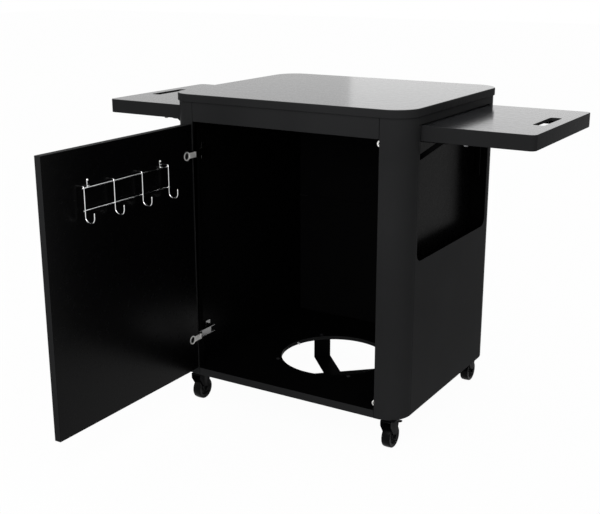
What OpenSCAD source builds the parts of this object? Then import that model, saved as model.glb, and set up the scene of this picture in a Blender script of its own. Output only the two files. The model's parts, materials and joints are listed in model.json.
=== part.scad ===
// Grill cart: a sheet metal cabinet on four casters, with a swing door,
// a gas bottle tray under a round hole in its floor and two fold-down side shelves.
// X runs to the right, Y to the back and Z up. The origin is on the floor,
// below the middle of the cabinet. The door is drawn standing open at 90 degrees.

/* [Cabinet] */
// Width of the cabinet body over its side skins
cabinet_w = 724; // [680:1:780]
// Depth of the cabinet body over its front and rear skins
cabinet_d = 618; // [590:1:660]
// Height of the worktop above the floor
counter_h = 914; // [890:1:950]
// Height of the cabinet's underside above the floor
floor_gap = 95; // [90:1:105]
// Outer radius of the four upright corners
corner_r = 67; // [50:1:72]
// Thickness of the outer sheet metal
skin_t = 1.5; // [1.2:0.1:1.8]
// Thickness of the inner sheet metal
liner_t = 1.2; // [1:0.1:1.4]
// Depth of each side recess, from the side skin to the inner wall
cavity_w = 49; // [48.5:0.5:52]
// Width of the post's face beside the door opening
post_w = 76; // [74:1:84]
// Depth of the post's return behind the front face
post_return = 24; // [23:0.5:28]
// Height of the front rail above the door opening
front_rail_h = 53.5; // [45:0.5:60]
// Height of the side rail above each side recess
side_rail_h = 21.8; // [19:0.1:26]
// Height of the lip below the door opening
lip_h = 22.5; // [20:0.5:26]
// Gap between two outer sheets that meet edge to edge
seam = 0.9; // [0.6:0.1:1.2]
// Distance of the seam between the two back panels below the worktop
back_seam_drop = 399; // [354:1:454]

/* [Worktop] */
// How far the worktop stands out past the cabinet
top_overhang = 4; // [2:0.5:6]
// Height of the worktop's turned-down band
top_band_h = 21; // [18:0.5:24]

/* [Side recess] */
// Distance of the recess from the side panel's upright edges
recess_edge = 10; // [4:0.5:11]
// Height of the recess, from its lower edge to the side rail
recess_h = 354.7; // [346:0.1:381]
// Radius of the recess's two lower corners
recess_r = 25; // [10:1:30]
// How far the storage bin reaches below the recess's lower edge
bin_depth = 60; // [30:1:90]

/* [Door] */
// Gap beside and below the closed door
door_gap = 2.8; // [2.5:0.1:3.4]
// Gap above the closed door
door_top_gap = 5; // [3:0.5:8]
// Thickness of the door
door_t = 18.4; // [17:0.1:19]
// Distance of the hinge pins from the opening's edge
hinge_setback = 10; // [9.5:0.1:10.5]
// Distance of the hinge pins behind the front face
hinge_depth = 6; // [5.5:0.1:6.5]
// Distance of the lower hinge from the door's lower edge
hinge_low_end = 94; // [80:1:120]
// Distance of the upper hinge from the door's upper edge
hinge_top_end = 86; // [80:1:120]
// Distance of the hinge cups from the door's hinge edge
cup_inset = 25; // [23:0.5:32]
// Outer radius of the hinge cups
cup_r = 11; // [10:0.5:12]
// Depth of the hinge cups in the door
cup_depth = 11; // [9:0.5:13]
// Length of the door handle
handle_len = 170; // [120:5:220]
// Radius of the door handle's bar
handle_r = 5; // [4:0.5:6]
// Distance of the handle's bar from the door's free edge
handle_inset = 56; // [45:1:80]
// Distance of the handle's bar from the door's outer face
handle_reach = 22; // [18:1:26]
// Distance of the handle's middle below the door's upper edge
handle_drop = 184.5; // [130:0.5:380]

/* [Hook rack] */
// Number of hooks on the rack
hook_count = 4; // [2:1:5]
// Distance between two hooks
hook_pitch = 107; // [70:1:110]
// Distance of the first hook from the door's hinge edge
hook_first = 124; // [100:1:140]
// Radius of the rack's wire
wire_r = 1.6; // [1.4:0.1:2]
// Distance of the rack's upper bar below the door's upper edge
rack_drop = 96.5; // [80:0.5:200]
// Distance between the rack's two bars
rack_bar_gap = 55; // [40:1:70]
// Distance of the rack's bars from the door's inner face
rack_out = 11; // [8:0.5:14]
// Radius of the hooks' bends
hook_r = 14.5; // [10:0.5:18]

/* [Gas bottle] */
// Radius of the bottle's hole in the floor
tank_hole_r = 159; // [150:1:162]
// Place of the bottle's hole, front to back
tank_y = -14; // [-25:1:0]
// Depth of the hole's turned-down collar
collar_h = 11.5; // [11:0.5:16]
// Width of the tray's straps
strap_w = 52; // [40:1:60]
// Thickness of the tray's straps
strap_t = 3; // [2:0.5:4]
// Height of the tray's upper face, on which the bottle stands
tray_z = 50; // [42:1:60]
// Radius of the tray's bolts
bolt_r = 3; // [2.5:0.5:4]
// Radius of the bottle's lock screw
lock_r = 3; // [2.5:0.5:3.5]
// How far the lock screw reaches into the hole
lock_reach = 8; // [4:0.5:12]

/* [Side shelves] */
// Thickness of the side shelves
shelf_t = 39; // [36:0.5:40]
// Length of a side shelf, out from the cabinet
shelf_len = 316.9; // [290:0.1:320]
// Gap between a side shelf and the front and rear edge of its recess
shelf_side_gap = 4.2; // [3:0.1:12]
// Radius of a side shelf's two outer corners
shelf_corner_r = 16; // [8:1:24]
// Distance of the shelf's top below the side rail
shelf_drop = 2.2; // [1.9:0.1:3]
// Depth of the shelf's pivot below its top
pivot_drop = 19; // [18.5:0.1:19.5]
// Distance of the shelf's pivot from its inner edge
pivot_inset = 7; // [6.5:0.1:7]
// Width of the grip slot
slot_w = 29.5; // [20:0.5:32]
// Length of the grip slot
slot_len = 144; // [100:1:150]
// Radius of the grip slot's corners
slot_corner_r = 6; // [4:0.5:10]
// Distance of the grip slot's middle from the shelf's outer edge
slot_inset = 47; // [40:0.5:60]
// Depth of the grip slot's turned-down rim
slot_rim_h = 8; // [4:0.5:12]

/* [Shelf brackets] */
// Distance of each bracket from the shelf's front or rear edge
bracket_edge = 21.8; // [20:0.1:78]
// Length of the bracket's arm beyond the pivot
arm_len = 157; // [150:1:158]
// Thickness of the bracket's sheet metal
bracket_t = 2; // [1.8:0.1:2.1]
// Width of the strut's bars
strut_w = 12; // [10:0.5:13]
// Radius of the shelf's pivot pins
pivot_pin_r = 3; // [2.5:0.1:3.5]
// Radius of the strut's pins
strut_pin_r = 2.5; // [2:0.1:2.6]
// How far the release lever reaches below the shelf
lever_drop = 8; // [6:0.5:8]

/* [Casters] */
// Radius of the wheels
wheel_r = 32; // [28:0.5:33]
// Width of the tyres
tyre_w = 25; // [18:0.5:26]
// Distance of the swivels from the cabinet's side
caster_inset_x = 48; // [46:0.5:60]
// Distance of the swivels from the cabinet's front and back
caster_inset_y = 39; // [38:0.5:60]
// How far the wheel trails behind its swivel
caster_trail = 9; // [8:0.5:18]
// Radius of the wheels' axles
axle_r = 4; // [3:0.1:4.5]

/* [Hidden] */
// Gap round a pin that turns in its hole
run_fit = 0.05;
// Gap between faces that pass each other
pass_gap = 0.3;
// Gap round a piece that lies in its seat
seat_gap = 0.3;

half_w = cabinet_w / 2;
half_d = cabinet_d / 2;
band_z = counter_h - top_band_h;
frame_top = counter_h - skin_t;
back_seam_z = counter_h - back_seam_drop;
floor_z = floor_gap + lip_h;
floor_under = floor_z - skin_t;
opening_half = half_w - post_w;
opening_top = band_z - front_rail_h;
side_half = half_d - corner_r;
recess_d = 2 * (side_half - recess_edge);
rail_low_z = band_z - side_rail_h;
recess_low_z = rail_low_z - recess_h;
inner_x = half_w - cavity_w;
wall_x = inner_x + liner_t;
return_y = -half_d + post_return;
corner_in = side_half + sqrt(pow(corner_r - skin_t, 2) - pow(wall_x - half_w + corner_r, 2));
back_y = corner_in - seat_gap - skin_t;
rail_hem = 10;
side_flange = 17;
top_flange_gap = 6;
lap_h = 10;

base_flange = 20;
caster_plate_w = 60;
corner_web = caster_plate_w + 24;

pin_x = -opening_half - hinge_setback;
pin_y = -half_d + hinge_depth;
door_x0 = -opening_half + door_gap;
door_w = 2 * (opening_half - door_gap);
door_z0 = floor_z + door_gap;
door_h = opening_top - door_top_gap - door_z0;
hinge_heights = [door_z0 + hinge_low_end, door_z0 + door_h - hinge_top_end];
door_face_y = -half_d + door_t;
door_flange = 10;
stiffener_w = 80;
stiffener_end = 20;
crank_h = 15;
crank_t = 2.5;
knuckle_r = 4;
hinge_pin_r = 2;
hinge_ear_t = 2;
hinge_plate_len = 62;
hinge_plate_h = 46;
hinge_wing_w = 20;
hinge_cap_len = 44;
hinge_base_t = 4;
hinge_window_h = 26;
cup_rim = 1.6;
catch_size = [15, 14, 17];
catch_inset = 0.5;
catch_bore_r = 4.5;

rack_z = door_z0 + door_h - rack_drop;
handle_z = door_z0 + door_h - handle_drop;
rack_low_z = rack_z - rack_bar_gap;
hook_out = rack_out + 2 * wire_r - 0.6;
hook_top_z = rack_z + 5;
hook_arc_z = rack_low_z - 14;
hook_tip_h = 10;
tab_w = 6;
tab_h = 22;
tab_t = 1.6;
rack_screw_r = 1.8;

leg_r = tank_hole_r + skin_t + 1.5;
tray_flange = 20;
tray_bolt_r = leg_r + 11;
tray_turn = -2;
tray_angles = [45, 135, 225, 315];
lock_angle = 165;
lock_z = floor_z - 7.5;
lock_nut_h = 6;
lock_knob_gap = 14;
lock_knob_len = 14;
lock_knob_r = 5.6;

shelf_z = rail_low_z - shelf_drop;
shelf_d = recess_d - 2 * shelf_side_gap;
bracket_y = shelf_d / 2 - bracket_edge;
pivot_x = half_w - pivot_drop;
pivot_z = shelf_z - pivot_drop;
pan_x0 = pivot_x - pivot_inset;
pan_x1 = pan_x0 + shelf_len;
pan_z0 = shelf_z - shelf_t;
pan_flange = 12;
slot_x = pan_x1 - slot_inset;

fin_t = 3;
bar_in = fin_t / 2 + 1;
bar_out = bar_in + bracket_t;
arm_in = bar_out + 1;
arm_out = arm_in + bracket_t;
lever_in = arm_out + 0.5;
lever_t = 2;
arm_lead = 6;
arm_depth = 24;
arm_flat = 82;
arm_tip_h = 17;
strut_top = [69, -18];
strut_foot = [-10, -78];
strut_vec = strut_top - strut_foot;
strut_len = norm(strut_vec);
strut_angle = atan2(strut_vec[1], strut_vec[0]);
foot_slot_x = -7.2;
foot_slot_r = strut_pin_r + 3.3;
foot_slot_top = -72;
foot_slot_low = -172;
fin_low = foot_slot_low - 10;
fin_high = 10;
fin_out = 7;
leaf_ear = 18;
leaf_ear_h = 20;
leaf_ears = [-178, -62];
leaf_screw_y = 12.5;
leaf_screw_r = 2;
lever_pin = [109, -4];
lever_pin_r = 2;
lever_hub_r = 5;
lever_tip_x = 128;
lever_tip_z = pan_z0 - lever_drop - pivot_z;
lever_w = 7;
lever_tab_w = 8;

caster_x = half_w - caster_inset_x;
caster_y = half_d - caster_inset_y;
plate_t = 2.5;
race_r = 18;
race_h = 4.2;
crown_z = floor_gap - plate_t - race_h - pass_gap;
crown_ring_h = 3;
crown_t = 3;
crown_low = crown_z - crown_ring_h - crown_t;
stem_r = 5;
stem_head_r = 8;
stem_head_h = 3;
fork_gap = tyre_w / 2 + 1.5;
fork_t = 2;
fork_front = 22;
fork_back = 28;
fork_skirt = 12;
fork_boss_r = 9;
hub_r = wheel_r - 8;
hub_bore_len = tyre_w + 2;
tyre_round = 3;
axle_head_r = 6.5;
axle_head_h = 3.5;
pedal_y = 22;
pedal_drop = 13;
pedal_pin_r = 2;
pedal_hub_r = 4.2;
pedal_len = 26;
pedal_w = 33;
pedal_t = 3;
pedal_slope = 14;
pedal_tread_len = 14;

paint = "#2b2d2f";
paint_dark = "#1c1d1f";
nickel = "#b9bcbf";
chrome = "#d5d8da";
zinc = "#8e9296";
rubber = "#141414";
hub_grey = "#6c6f72";

$fn = 48;

// Sheets: a flat outline with its thickness along X, Y or Z

module plate_x(x, t) {
  translate([x, 0, 0]) rotate([90, 0, 90]) linear_extrude(t) children();
}

module plate_y(y, t) {
  translate([0, y + t, 0]) rotate([90, 0, 0]) linear_extrude(t) children();
}

module plate_z(z, t) {
  translate([0, 0, z]) linear_extrude(t) children();
}

module both_sides() {
  children();
  mirror([1, 0, 0]) children();
}

module front_and_back() {
  children();
  mirror([0, 1, 0]) children();
}

// A rectangle with four round corners, centred
module rounded_plan(w, d, r) {
  square([w - 2 * r, d], center = true);
  square([w, d - 2 * r], center = true);
  for (sx = [-1, 1], sy = [-1, 1])
    translate([sx * (w / 2 - r), sy * (d / 2 - r)]) circle(r);
}

module shell_plan(w, d, r, t) {
  difference() {
    rounded_plan(w, d, r);
    rounded_plan(w - 2 * t, d - 2 * t, r - t);
  }
}

// A slot with round ends, centred, its length along Y
module slot_plan(w, len) {
  square([w, len - w], center = true);
  for (s = [-1, 1]) translate([0, s * (len - w) / 2]) circle(w / 2);
}

// Worktop: a pressed pan whose band hangs over the frame
module top_plate() {
  w = cabinet_w + 2 * top_overhang;
  d = cabinet_d + 2 * top_overhang;
  r = corner_r + top_overhang;
  color(paint) difference() {
    plate_z(band_z, top_band_h) rounded_plan(w, d, r);
    plate_z(band_z - 1, top_band_h + 1 - skin_t)
      rounded_plan(w - 2 * skin_t, d - 2 * skin_t, r - skin_t);
  }
}

// Front rail: a channel with a hemmed lower flange above the door opening
module front_rail() {
  len = 2 * (opening_half - seam);
  color(paint) plate_x(-len / 2, len) {
    translate([-half_d, opening_top]) square([skin_t, frame_top - opening_top]);
    translate([-half_d, opening_top]) square([post_return, skin_t]);
    translate([return_y - skin_t, opening_top]) square([skin_t, rail_hem]);
    translate([-half_d, frame_top - skin_t]) square([post_return, skin_t]);
  }
}

module rear_rail() {
  len = 2 * (opening_half - seam);
  color(paint) plate_x(-len / 2, len) {
    translate([half_d - skin_t, rail_low_z]) square([skin_t, frame_top - rail_low_z]);
    translate([half_d - post_return, frame_top - skin_t]) square([post_return, skin_t]);
  }
}

// Side rails: channels that bridge the side recesses
module side_rails() {
  len = 2 * (side_half - seam);
  color(paint) both_sides() plate_y(-len / 2, len) {
    translate([half_w - skin_t, rail_low_z]) square([skin_t, frame_top - rail_low_z]);
    translate([half_w - side_flange, rail_low_z]) square([side_flange, skin_t]);
    translate([inner_x, frame_top - skin_t]) square([cavity_w, skin_t]);
  }
}

// Corner of the cabinet's skin, drawn for the front right corner
module corner_plan() {
  intersection() {
    shell_plan(cabinet_w, cabinet_d, corner_r, skin_t);
    translate([opening_half, -half_d]) square([post_w, corner_r]);
  }
}

// Front post: the round corner skin and its return beside the door
module front_post() {
  plate_z(floor_gap, frame_top - floor_gap) corner_plan();
  plate_z(floor_z, frame_top - floor_z) {
    translate([opening_half, -half_d]) square([skin_t, post_return]);
    translate([opening_half, return_y - skin_t])
      square([wall_x - opening_half, skin_t]);
  }
}

module post_front_right() {
  color(paint) front_post();
}

// Left front post: windows let the hinges reach into the post
module post_front_left() {
  window_x = inner_x - hinge_base_t + pass_gap - opening_half;
  color(paint) difference() {
    mirror([1, 0, 0]) front_post();
    for (z = hinge_heights)
      translate([-opening_half - window_x, -half_d + skin_t, z - hinge_window_h / 2])
        cube([window_x + 1, post_return - skin_t + 1, hinge_window_h]);
  }
}

module rear_posts() {
  color(paint) both_sides() mirror([0, 1, 0])
    plate_z(floor_gap, frame_top - floor_gap) corner_plan();
}

// Side recess, seen from the side: upright edges and two round lower corners
module recess_plan(top_z) {
  y = recess_d / 2;
  translate([-y, recess_low_z + recess_r])
    square([recess_d, top_z - recess_low_z - recess_r]);
  translate([-y + recess_r, recess_low_z]) square([recess_d - 2 * recess_r, recess_r + 1]);
  for (s = [-1, 1])
    translate([s * (y - recess_r), recess_low_z + recess_r]) circle(recess_r);
}

module side_panel() {
  y = side_half - seam;
  plate_x(half_w - skin_t, skin_t) difference() {
    translate([-y, floor_gap]) square([2 * y, rail_low_z - seam - floor_gap]);
    recess_plan(rail_low_z + 1);
  }
}

module side_panel_right() {
  color(paint) side_panel();
}

module side_panel_left() {
  color(paint) mirror([1, 0, 0]) side_panel();
}

// Inner walls, with the holes of the shelf brackets' screws
module inner_walls() {
  color(paint_dark) both_sides() difference() {
    translate([inner_x, return_y, floor_z])
      cube([liner_t, back_y - return_y, frame_top - skin_t - floor_z]);
    leaf_screw_places() rotate([0, 90, 0])
      translate([0, 0, -5]) cylinder(h = 10, r = leaf_screw_r + run_fit);
  }
}

// Pocket liners: one sheet bent round the front, floor and back of each bin
module pocket_liners() {
  w = recess_d + 2 * liner_t;
  low = recess_low_z - bin_depth;
  color(paint_dark) both_sides()
    plate_x(wall_x, half_w - skin_t - wall_x) difference() {
      translate([-w / 2, low - liner_t]) square([w, rail_low_z - low + liner_t]);
      translate([-recess_d / 2, low]) square([recess_d, rail_low_z - low + 1]);
    }
}

module back_panel_upper() {
  top = frame_top - skin_t - top_flange_gap;
  color(paint_dark) translate([-wall_x, back_y, back_seam_z + 1])
    cube([2 * wall_x, skin_t, top - back_seam_z - 1]);
}

// Lower back panel, with a lap strip behind the seam
module back_panel_lower() {
  lap_x = opening_half - seam;
  color(paint_dark) {
    translate([-wall_x, back_y, floor_z])
      cube([2 * wall_x, skin_t, back_seam_z - 1 - floor_z]);
    translate([-lap_x, back_y + skin_t, back_seam_z - lap_h])
      cube([2 * lap_x, skin_t, 2 * lap_h]);
  }
}

// Outline of the floor pan, which lies inside the posts and side panels
// and comes out flush between the posts, in front and behind
module base_plan(inset) {
  lie = 2 * (skin_t + seat_gap + inset);
  rounded_plan(cabinet_w - lie, cabinet_d - lie, corner_r - lie / 2);
  square([2 * (opening_half - seam - inset), cabinet_d - 2 * inset], center = true);
}

module base_pan() {
  inner = [cabinet_w - 2 * base_flange, cabinet_d - 2 * base_flange];
  color(paint) difference() {
    union() {
      plate_z(floor_under, skin_t) base_plan(0);
      plate_z(floor_gap, lip_h) difference() {
        base_plan(0);
        base_plan(skin_t);
      }
      plate_z(floor_gap, skin_t) difference() {
        base_plan(0);
        difference() {
          square(inner, center = true);
          for (sx = [-1, 1], sy = [-1, 1])
            translate([sx * caster_x, sy * caster_y]) square(corner_web, center = true);
        }
      }
      translate([0, tank_y, floor_z - collar_h])
        cylinder(h = collar_h, r = tank_hole_r + skin_t, $fn = 96);
    }
    translate([0, tank_y, floor_gap - 1])
      cylinder(h = lip_h + 2, r = tank_hole_r, $fn = 96);
    tray_bolt_places() translate([0, 0, floor_gap - 1])
      cylinder(h = lip_h + 2, r = bolt_r + 0.2);
    lock_screw_line(tank_hole_r - 10, 20, lock_r + 0.2);
  }
}

// Bottle tray: two crossed straps whose ends turn up and bolt under the floor
module tray_strap() {
  reach = leg_r + strap_t;
  flange_r = leg_r + tray_flange;
  translate([-reach, -strap_w / 2, tray_z - strap_t]) cube([2 * reach, strap_w, strap_t]);
  both_sides() {
    translate([leg_r, -strap_w / 2, tray_z - strap_t])
      cube([strap_t, strap_w, floor_under - tray_z + strap_t]);
    translate([leg_r, -strap_w / 2, floor_under - strap_t])
      cube([tray_flange, strap_w, strap_t]);
  }
}

module tank_tray() {
  color(paint) difference() {
    translate([0, tank_y, 0]) for (a = [45, 135]) rotate([0, 0, a + tray_turn]) tray_strap();
    tray_bolt_places() translate([0, 0, floor_under - strap_t - 1])
      cylinder(h = strap_t + 2, r = bolt_r + 0.2);
  }
}

module tray_bolt_places() {
  translate([0, tank_y, 0]) for (a = tray_angles)
    rotate([0, 0, a + tray_turn]) translate([tray_bolt_r, 0, 0]) children();
}

// Tray bolts with low round heads on the floor and hexagon nuts below
module tray_bolts() {
  under = floor_under - strap_t;
  nut_h = 1.6 * bolt_r;
  color(paint) tray_bolt_places() {
    translate([0, 0, under - nut_h - 1]) cylinder(h = floor_z - under + nut_h + 2, r = bolt_r);
    translate([0, 0, floor_z]) cylinder(h = bolt_r, r1 = 2.1 * bolt_r, r2 = 1.5 * bolt_r);
    translate([0, 0, under - nut_h]) difference() {
      cylinder(h = nut_h, r = 1.8 * bolt_r, $fn = 6);
      translate([0, 0, -1]) cylinder(h = nut_h + 2, r = bolt_r + run_fit);
    }
  }
}

// A bar of radius r along the lock screw's line, from a distance off the hole's middle
module lock_screw_line(from, len, r, sides = 48) {
  translate([0, tank_y, lock_z]) rotate([0, 0, lock_angle]) translate([from, 0, 0])
    rotate([0, 90, 0]) cylinder(h = len, r = r, $fn = sides);
}

module lock_screw_nut() {
  from = tank_hole_r + skin_t;
  color(zinc) difference() {
    lock_screw_line(from, lock_nut_h, 2 * lock_r, 6);
    lock_screw_line(from - 1, lock_nut_h + 2, lock_r + run_fit);
  }
}

module lock_screw() {
  from = tank_hole_r - lock_reach;
  knob = tank_hole_r + skin_t + lock_nut_h + lock_knob_gap;
  color(zinc) {
    lock_screw_line(from, knob - from + 1, lock_r);
    lock_screw_line(knob, lock_knob_len, lock_knob_r);
  }
}

// Door catches: housings with a round nose and a bore, on the right post's return
module door_catches() {
  places = [door_z0 + catch_inset, door_z0 + door_h - catch_inset - catch_size[2]];
  nose_r = catch_size[2] / 2;
  nose_x = opening_half - catch_size[0] + nose_r;
  nose_back = opening_half - nose_x;
  color(nickel) for (z = places)
    plate_y(door_face_y + pass_gap, catch_size[1]) translate([nose_x, z + nose_r]) difference() {
      intersection() {
        union() {
          circle(nose_r);
          translate([0, -nose_r]) square([nose_back + 1, 2 * nose_r]);
        }
        translate([-nose_r - 1, -nose_r - 1]) square([nose_r + 1 + nose_back, 2 * nose_r + 2]);
      }
      circle(catch_bore_r);
    }
}

// Hinges, cabinet side: a base plate on the inner wall, a forked arm and its pin
module hinge_plates() {
  spine_h = crank_h + 2 * hinge_ear_t + 1;
  y0 = return_y + 2;
  color(nickel) for (z = hinge_heights) {
    translate([-inner_x, y0, z - spine_h / 2]) cube([hinge_base_t, hinge_plate_len, spine_h]);
    translate([-inner_x, y0 + hinge_plate_len - hinge_wing_w, z - hinge_plate_h / 2])
      cube([hinge_base_t, hinge_wing_w, hinge_plate_h]);
  }
}

module hinge_arms() {
  x0 = -inner_x + hinge_base_t;
  x1 = pin_x + knuckle_r;
  y1 = return_y + 2 + hinge_plate_len;
  ear_z = crank_h / 2 + 0.5;
  color(nickel) for (z = hinge_heights) difference() {
    union() {
      for (s = [-1, 1]) translate([0, 0, z + s * (ear_z + hinge_ear_t / 2)]) {
        translate([x0, pin_y, -hinge_ear_t / 2]) cube([x1 - x0, y1 - pin_y, hinge_ear_t]);
        translate([pin_x, pin_y, -hinge_ear_t / 2]) cylinder(h = hinge_ear_t, r = knuckle_r);
      }
      translate([x0, return_y + 4, z - ear_z - 1])
        cube([crank_t, y1 - return_y - 4, 2 * ear_z + 2]);
      translate([x1 - crank_t, return_y + 1, z - ear_z - 1])
        cube([crank_t, hinge_cap_len, 2 * ear_z + 2]);
    }
    translate([pin_x, pin_y, z - crank_h]) cylinder(h = 2 * crank_h, r = hinge_pin_r + run_fit);
  }
}

module hinge_pins() {
  h = crank_h + 1 + 2 * hinge_ear_t;
  color(nickel) for (z = hinge_heights)
    translate([pin_x, pin_y, z - h / 2]) cylinder(h = h, r = hinge_pin_r);
}

// Turns what is drawn for the closed door to where the door stands at rest
module door_at_rest() {
  translate([pin_x, pin_y, 0]) rotate([0, 0, -90]) translate([-pin_x, -pin_y, 0]) children();
}

module cup_places() {
  for (z = hinge_heights) translate([door_x0 + cup_inset, door_face_y, z]) children();
}

// Hinges, door side: a pressed cup and a crank that reaches round to the pin
module hinge_cups() {
  color(nickel) door_at_rest() difference() {
    union() {
      for (z = hinge_heights) {
        translate([pin_x, pin_y, z - crank_h / 2]) cylinder(h = crank_h, r = knuckle_r);
        translate([pin_x - crank_t / 2, pin_y, z - crank_h / 2])
          cube([crank_t, door_face_y + crank_t - pin_y, crank_h]);
        translate([pin_x - crank_t / 2, door_face_y, z - crank_h / 2])
          cube([door_x0 + cup_inset - cup_r + 3 + crank_t / 2 - pin_x, crank_t, crank_h]);
      }
      cup_places() rotate([90, 0, 0]) {
        cylinder(h = cup_depth, r = cup_r);
        translate([0, 0, -cup_rim]) cylinder(h = cup_rim, r = cup_r + 1.5);
      }
    }
    for (z = hinge_heights) translate([pin_x, pin_y, z - crank_h])
      cylinder(h = 2 * crank_h, r = hinge_pin_r + run_fit);
    cup_places() rotate([90, 0, 0]) translate([0, 0, -crank_t - 1])
      cylinder(h = cup_depth + crank_t, r = cup_r - 1.5);
  }
}

// Door: an outer pan with turned-in flanges and an inner sheet let into it
module door_outer_skin() {
  t = liner_t;
  color(paint) door_at_rest() translate([door_x0, -half_d, door_z0]) difference() {
    cube([door_w, door_t, door_h]);
    translate([t, t, t]) cube([door_w - 2 * t, door_t - 3 * t, door_h - 2 * t]);
    translate([t, door_t - t, t]) cube([door_w - 2 * t, t + 1, door_h - 2 * t]);
    translate([door_flange, t, door_flange])
      cube([door_w - 2 * door_flange, door_t, door_h - 2 * door_flange]);
    translate([cup_inset - cup_r - 2, t, -door_z0])
      for (z = hinge_heights) translate([0, 0, z - cup_r - 2])
        cube([2 * cup_r + 4, door_t, 2 * cup_r + 4]);
  }
}

module door_inner_skin() {
  edge = liner_t + seat_gap;
  color(paint_dark) door_at_rest() difference() {
    translate([door_x0 + edge, door_face_y - liner_t, door_z0 + edge])
      cube([door_w - 2 * edge, liner_t, door_h - 2 * edge]);
    cup_places() rotate([90, 0, 0])
      translate([0, 0, -5]) cylinder(h = 10, r = cup_r + run_fit);
    rack_screw_places() rotate([90, 0, 0])
      translate([0, 0, -5]) cylinder(h = 10, r = rack_screw_r + run_fit);
  }
}

// Door stiffener: an upright hat section between the door's two skins
module door_stiffener() {
  t = liner_t;
  y0 = -half_d + liner_t;
  depth = door_t - 2 * liner_t;
  foot = 15;
  color(zinc) door_at_rest() plate_z(door_z0 + stiffener_end, door_h - 2 * stiffener_end)
    translate([-stiffener_w / 2, y0]) {
      square([foot, t]);
      translate([foot - t, 0]) square([t, depth]);
      translate([foot - t, depth - t]) square([stiffener_w - 2 * foot + 2 * t, t]);
      translate([stiffener_w - foot, 0]) square([t, depth]);
      translate([stiffener_w - foot, 0]) square([foot, t]);
    }
}

// Door handle: a round bar on two posts near the free edge
module door_handle() {
  x = door_x0 + door_w - handle_inset;
  y = -half_d - handle_reach;
  post_span = handle_len - 6 * handle_r;
  color(zinc) door_at_rest() {
    translate([x, y, handle_z - handle_len / 2]) cylinder(h = handle_len, r = handle_r);
    for (s = [-1, 1]) translate([x, -half_d, handle_z + s * post_span / 2])
      rotate([90, 0, 0]) cylinder(h = handle_reach, r = 0.8 * handle_r);
  }
}

// One wire hook in the plane across the door: the upright, its turned-in top,
// the bend and the rising tip
module wire_hook() {
  up = hook_top_z - hook_arc_z;
  translate([0, hook_out, hook_arc_z]) {
    cylinder(h = up, r = wire_r);
    translate([0, 0, up]) sphere(wire_r);
    translate([0, 0, up]) rotate([90, 0, 0]) cylinder(h = hook_out, r = wire_r);
    translate([0, 2 * hook_r, 0]) cylinder(h = hook_tip_h, r = wire_r);
    translate([0, 2 * hook_r, hook_tip_h]) sphere(wire_r);
    translate([0, hook_r, 0]) rotate([0, 90, 0]) rotate([0, 0, -90])
      rotate_extrude(angle = 180) translate([hook_r, 0]) circle(wire_r);
  }
}

// Hook rack: two wire bars, the hooks and two fixing tabs, welded together
module hook_rack() {
  x1 = door_x0 + hook_first;
  span = (hook_count - 1) * hook_pitch;
  color(chrome) door_at_rest() {
    for (i = [0 : hook_count - 1])
      translate([x1 + i * hook_pitch, door_face_y, 0]) wire_hook();
    for (z = [rack_z, rack_low_z])
      translate([x1, door_face_y + rack_out, z]) rotate([0, 90, 0]) {
        translate([0, 0, -wire_r]) cylinder(h = span + 2 * wire_r, r = wire_r);
      }
    difference() {
      rack_tab_places() {
        translate([-tab_w / 2, 0, -tab_w / 2]) cube([tab_w, tab_t, tab_h]);
        rotate([-90, 0, 0]) cylinder(h = rack_out, r = wire_r);
      }
      rack_screw_places() rotate([90, 0, 0])
        translate([0, 0, -5]) cylinder(h = 10, r = rack_screw_r + run_fit);
    }
  }
}

module rack_tab_places() {
  x1 = door_x0 + hook_first;
  span = (hook_count - 1) * hook_pitch;
  for (x = [x1 + 0.16 * hook_pitch, x1 + span - 0.25 * hook_pitch])
    translate([x, door_face_y, rack_z]) children();
}

module rack_screw_places() {
  rack_tab_places() translate([0, 0, tab_h - tab_w]) children();
}

module rack_screws() {
  color(nickel) door_at_rest() rack_screw_places() {
    rotate([90, 0, 0]) cylinder(h = 6, r = rack_screw_r);
    rotate([-90, 0, 0]) cylinder(h = tab_t, r = rack_screw_r);
    translate([0, tab_t, 0]) rotate([-90, 0, 0]) cylinder(h = 1.4, r1 = 2.9, r2 = 2);
  }
}

// Side shelves. Each is drawn for the right side and mirrored for the left

module bracket_places() {
  front_and_back() translate([0, -bracket_y, 0]) children();
}

// Outline of the shelf, drawn in by the given distance all round
module shelf_plan(inset) {
  x0 = pan_x0 + inset;
  x1 = pan_x1 - inset;
  y = shelf_d / 2 - inset;
  r = max(shelf_corner_r - inset, 1);
  translate([x0, -y]) square([x1 - x0 - r, 2 * y]);
  translate([x0, -y + r]) square([x1 - x0, 2 * (y - r)]);
  for (s = [-1, 1]) translate([x1 - r, s * (y - r)]) circle(r);
}

// Shelf pan: a pressed top with skirts, hems, a rimmed grip slot
// and notches in the inner skirt for the brackets
module shelf_pan() {
  notch_y = arm_out + 3;
  difference() {
    union() {
      difference() {
        plate_z(pan_z0, shelf_t) shelf_plan(0);
        plate_z(pan_z0 - 1, shelf_t + 1 - skin_t) shelf_plan(skin_t);
      }
      plate_z(pan_z0, skin_t) difference() {
        shelf_plan(0);
        shelf_plan(pan_flange);
      }
      plate_z(shelf_z - slot_rim_h, slot_rim_h) translate([slot_x, 0])
        rounded_plan(slot_w + 2 * skin_t, slot_len + 2 * skin_t, slot_corner_r + skin_t);
    }
    plate_z(pan_z0, shelf_t + 1) translate([slot_x, 0])
      rounded_plan(slot_w, slot_len, slot_corner_r);
    bracket_places() translate([pan_x0 - 1, -notch_y, pan_z0 - 1])
      cube([pan_flange + 2, 2 * notch_y, shelf_t + 1 - skin_t]);
  }
}

module shelf_pan_right() {
  color(paint) shelf_pan();
}

module shelf_pan_left() {
  color(paint) mirror([1, 0, 0]) shelf_pan();
}

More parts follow.
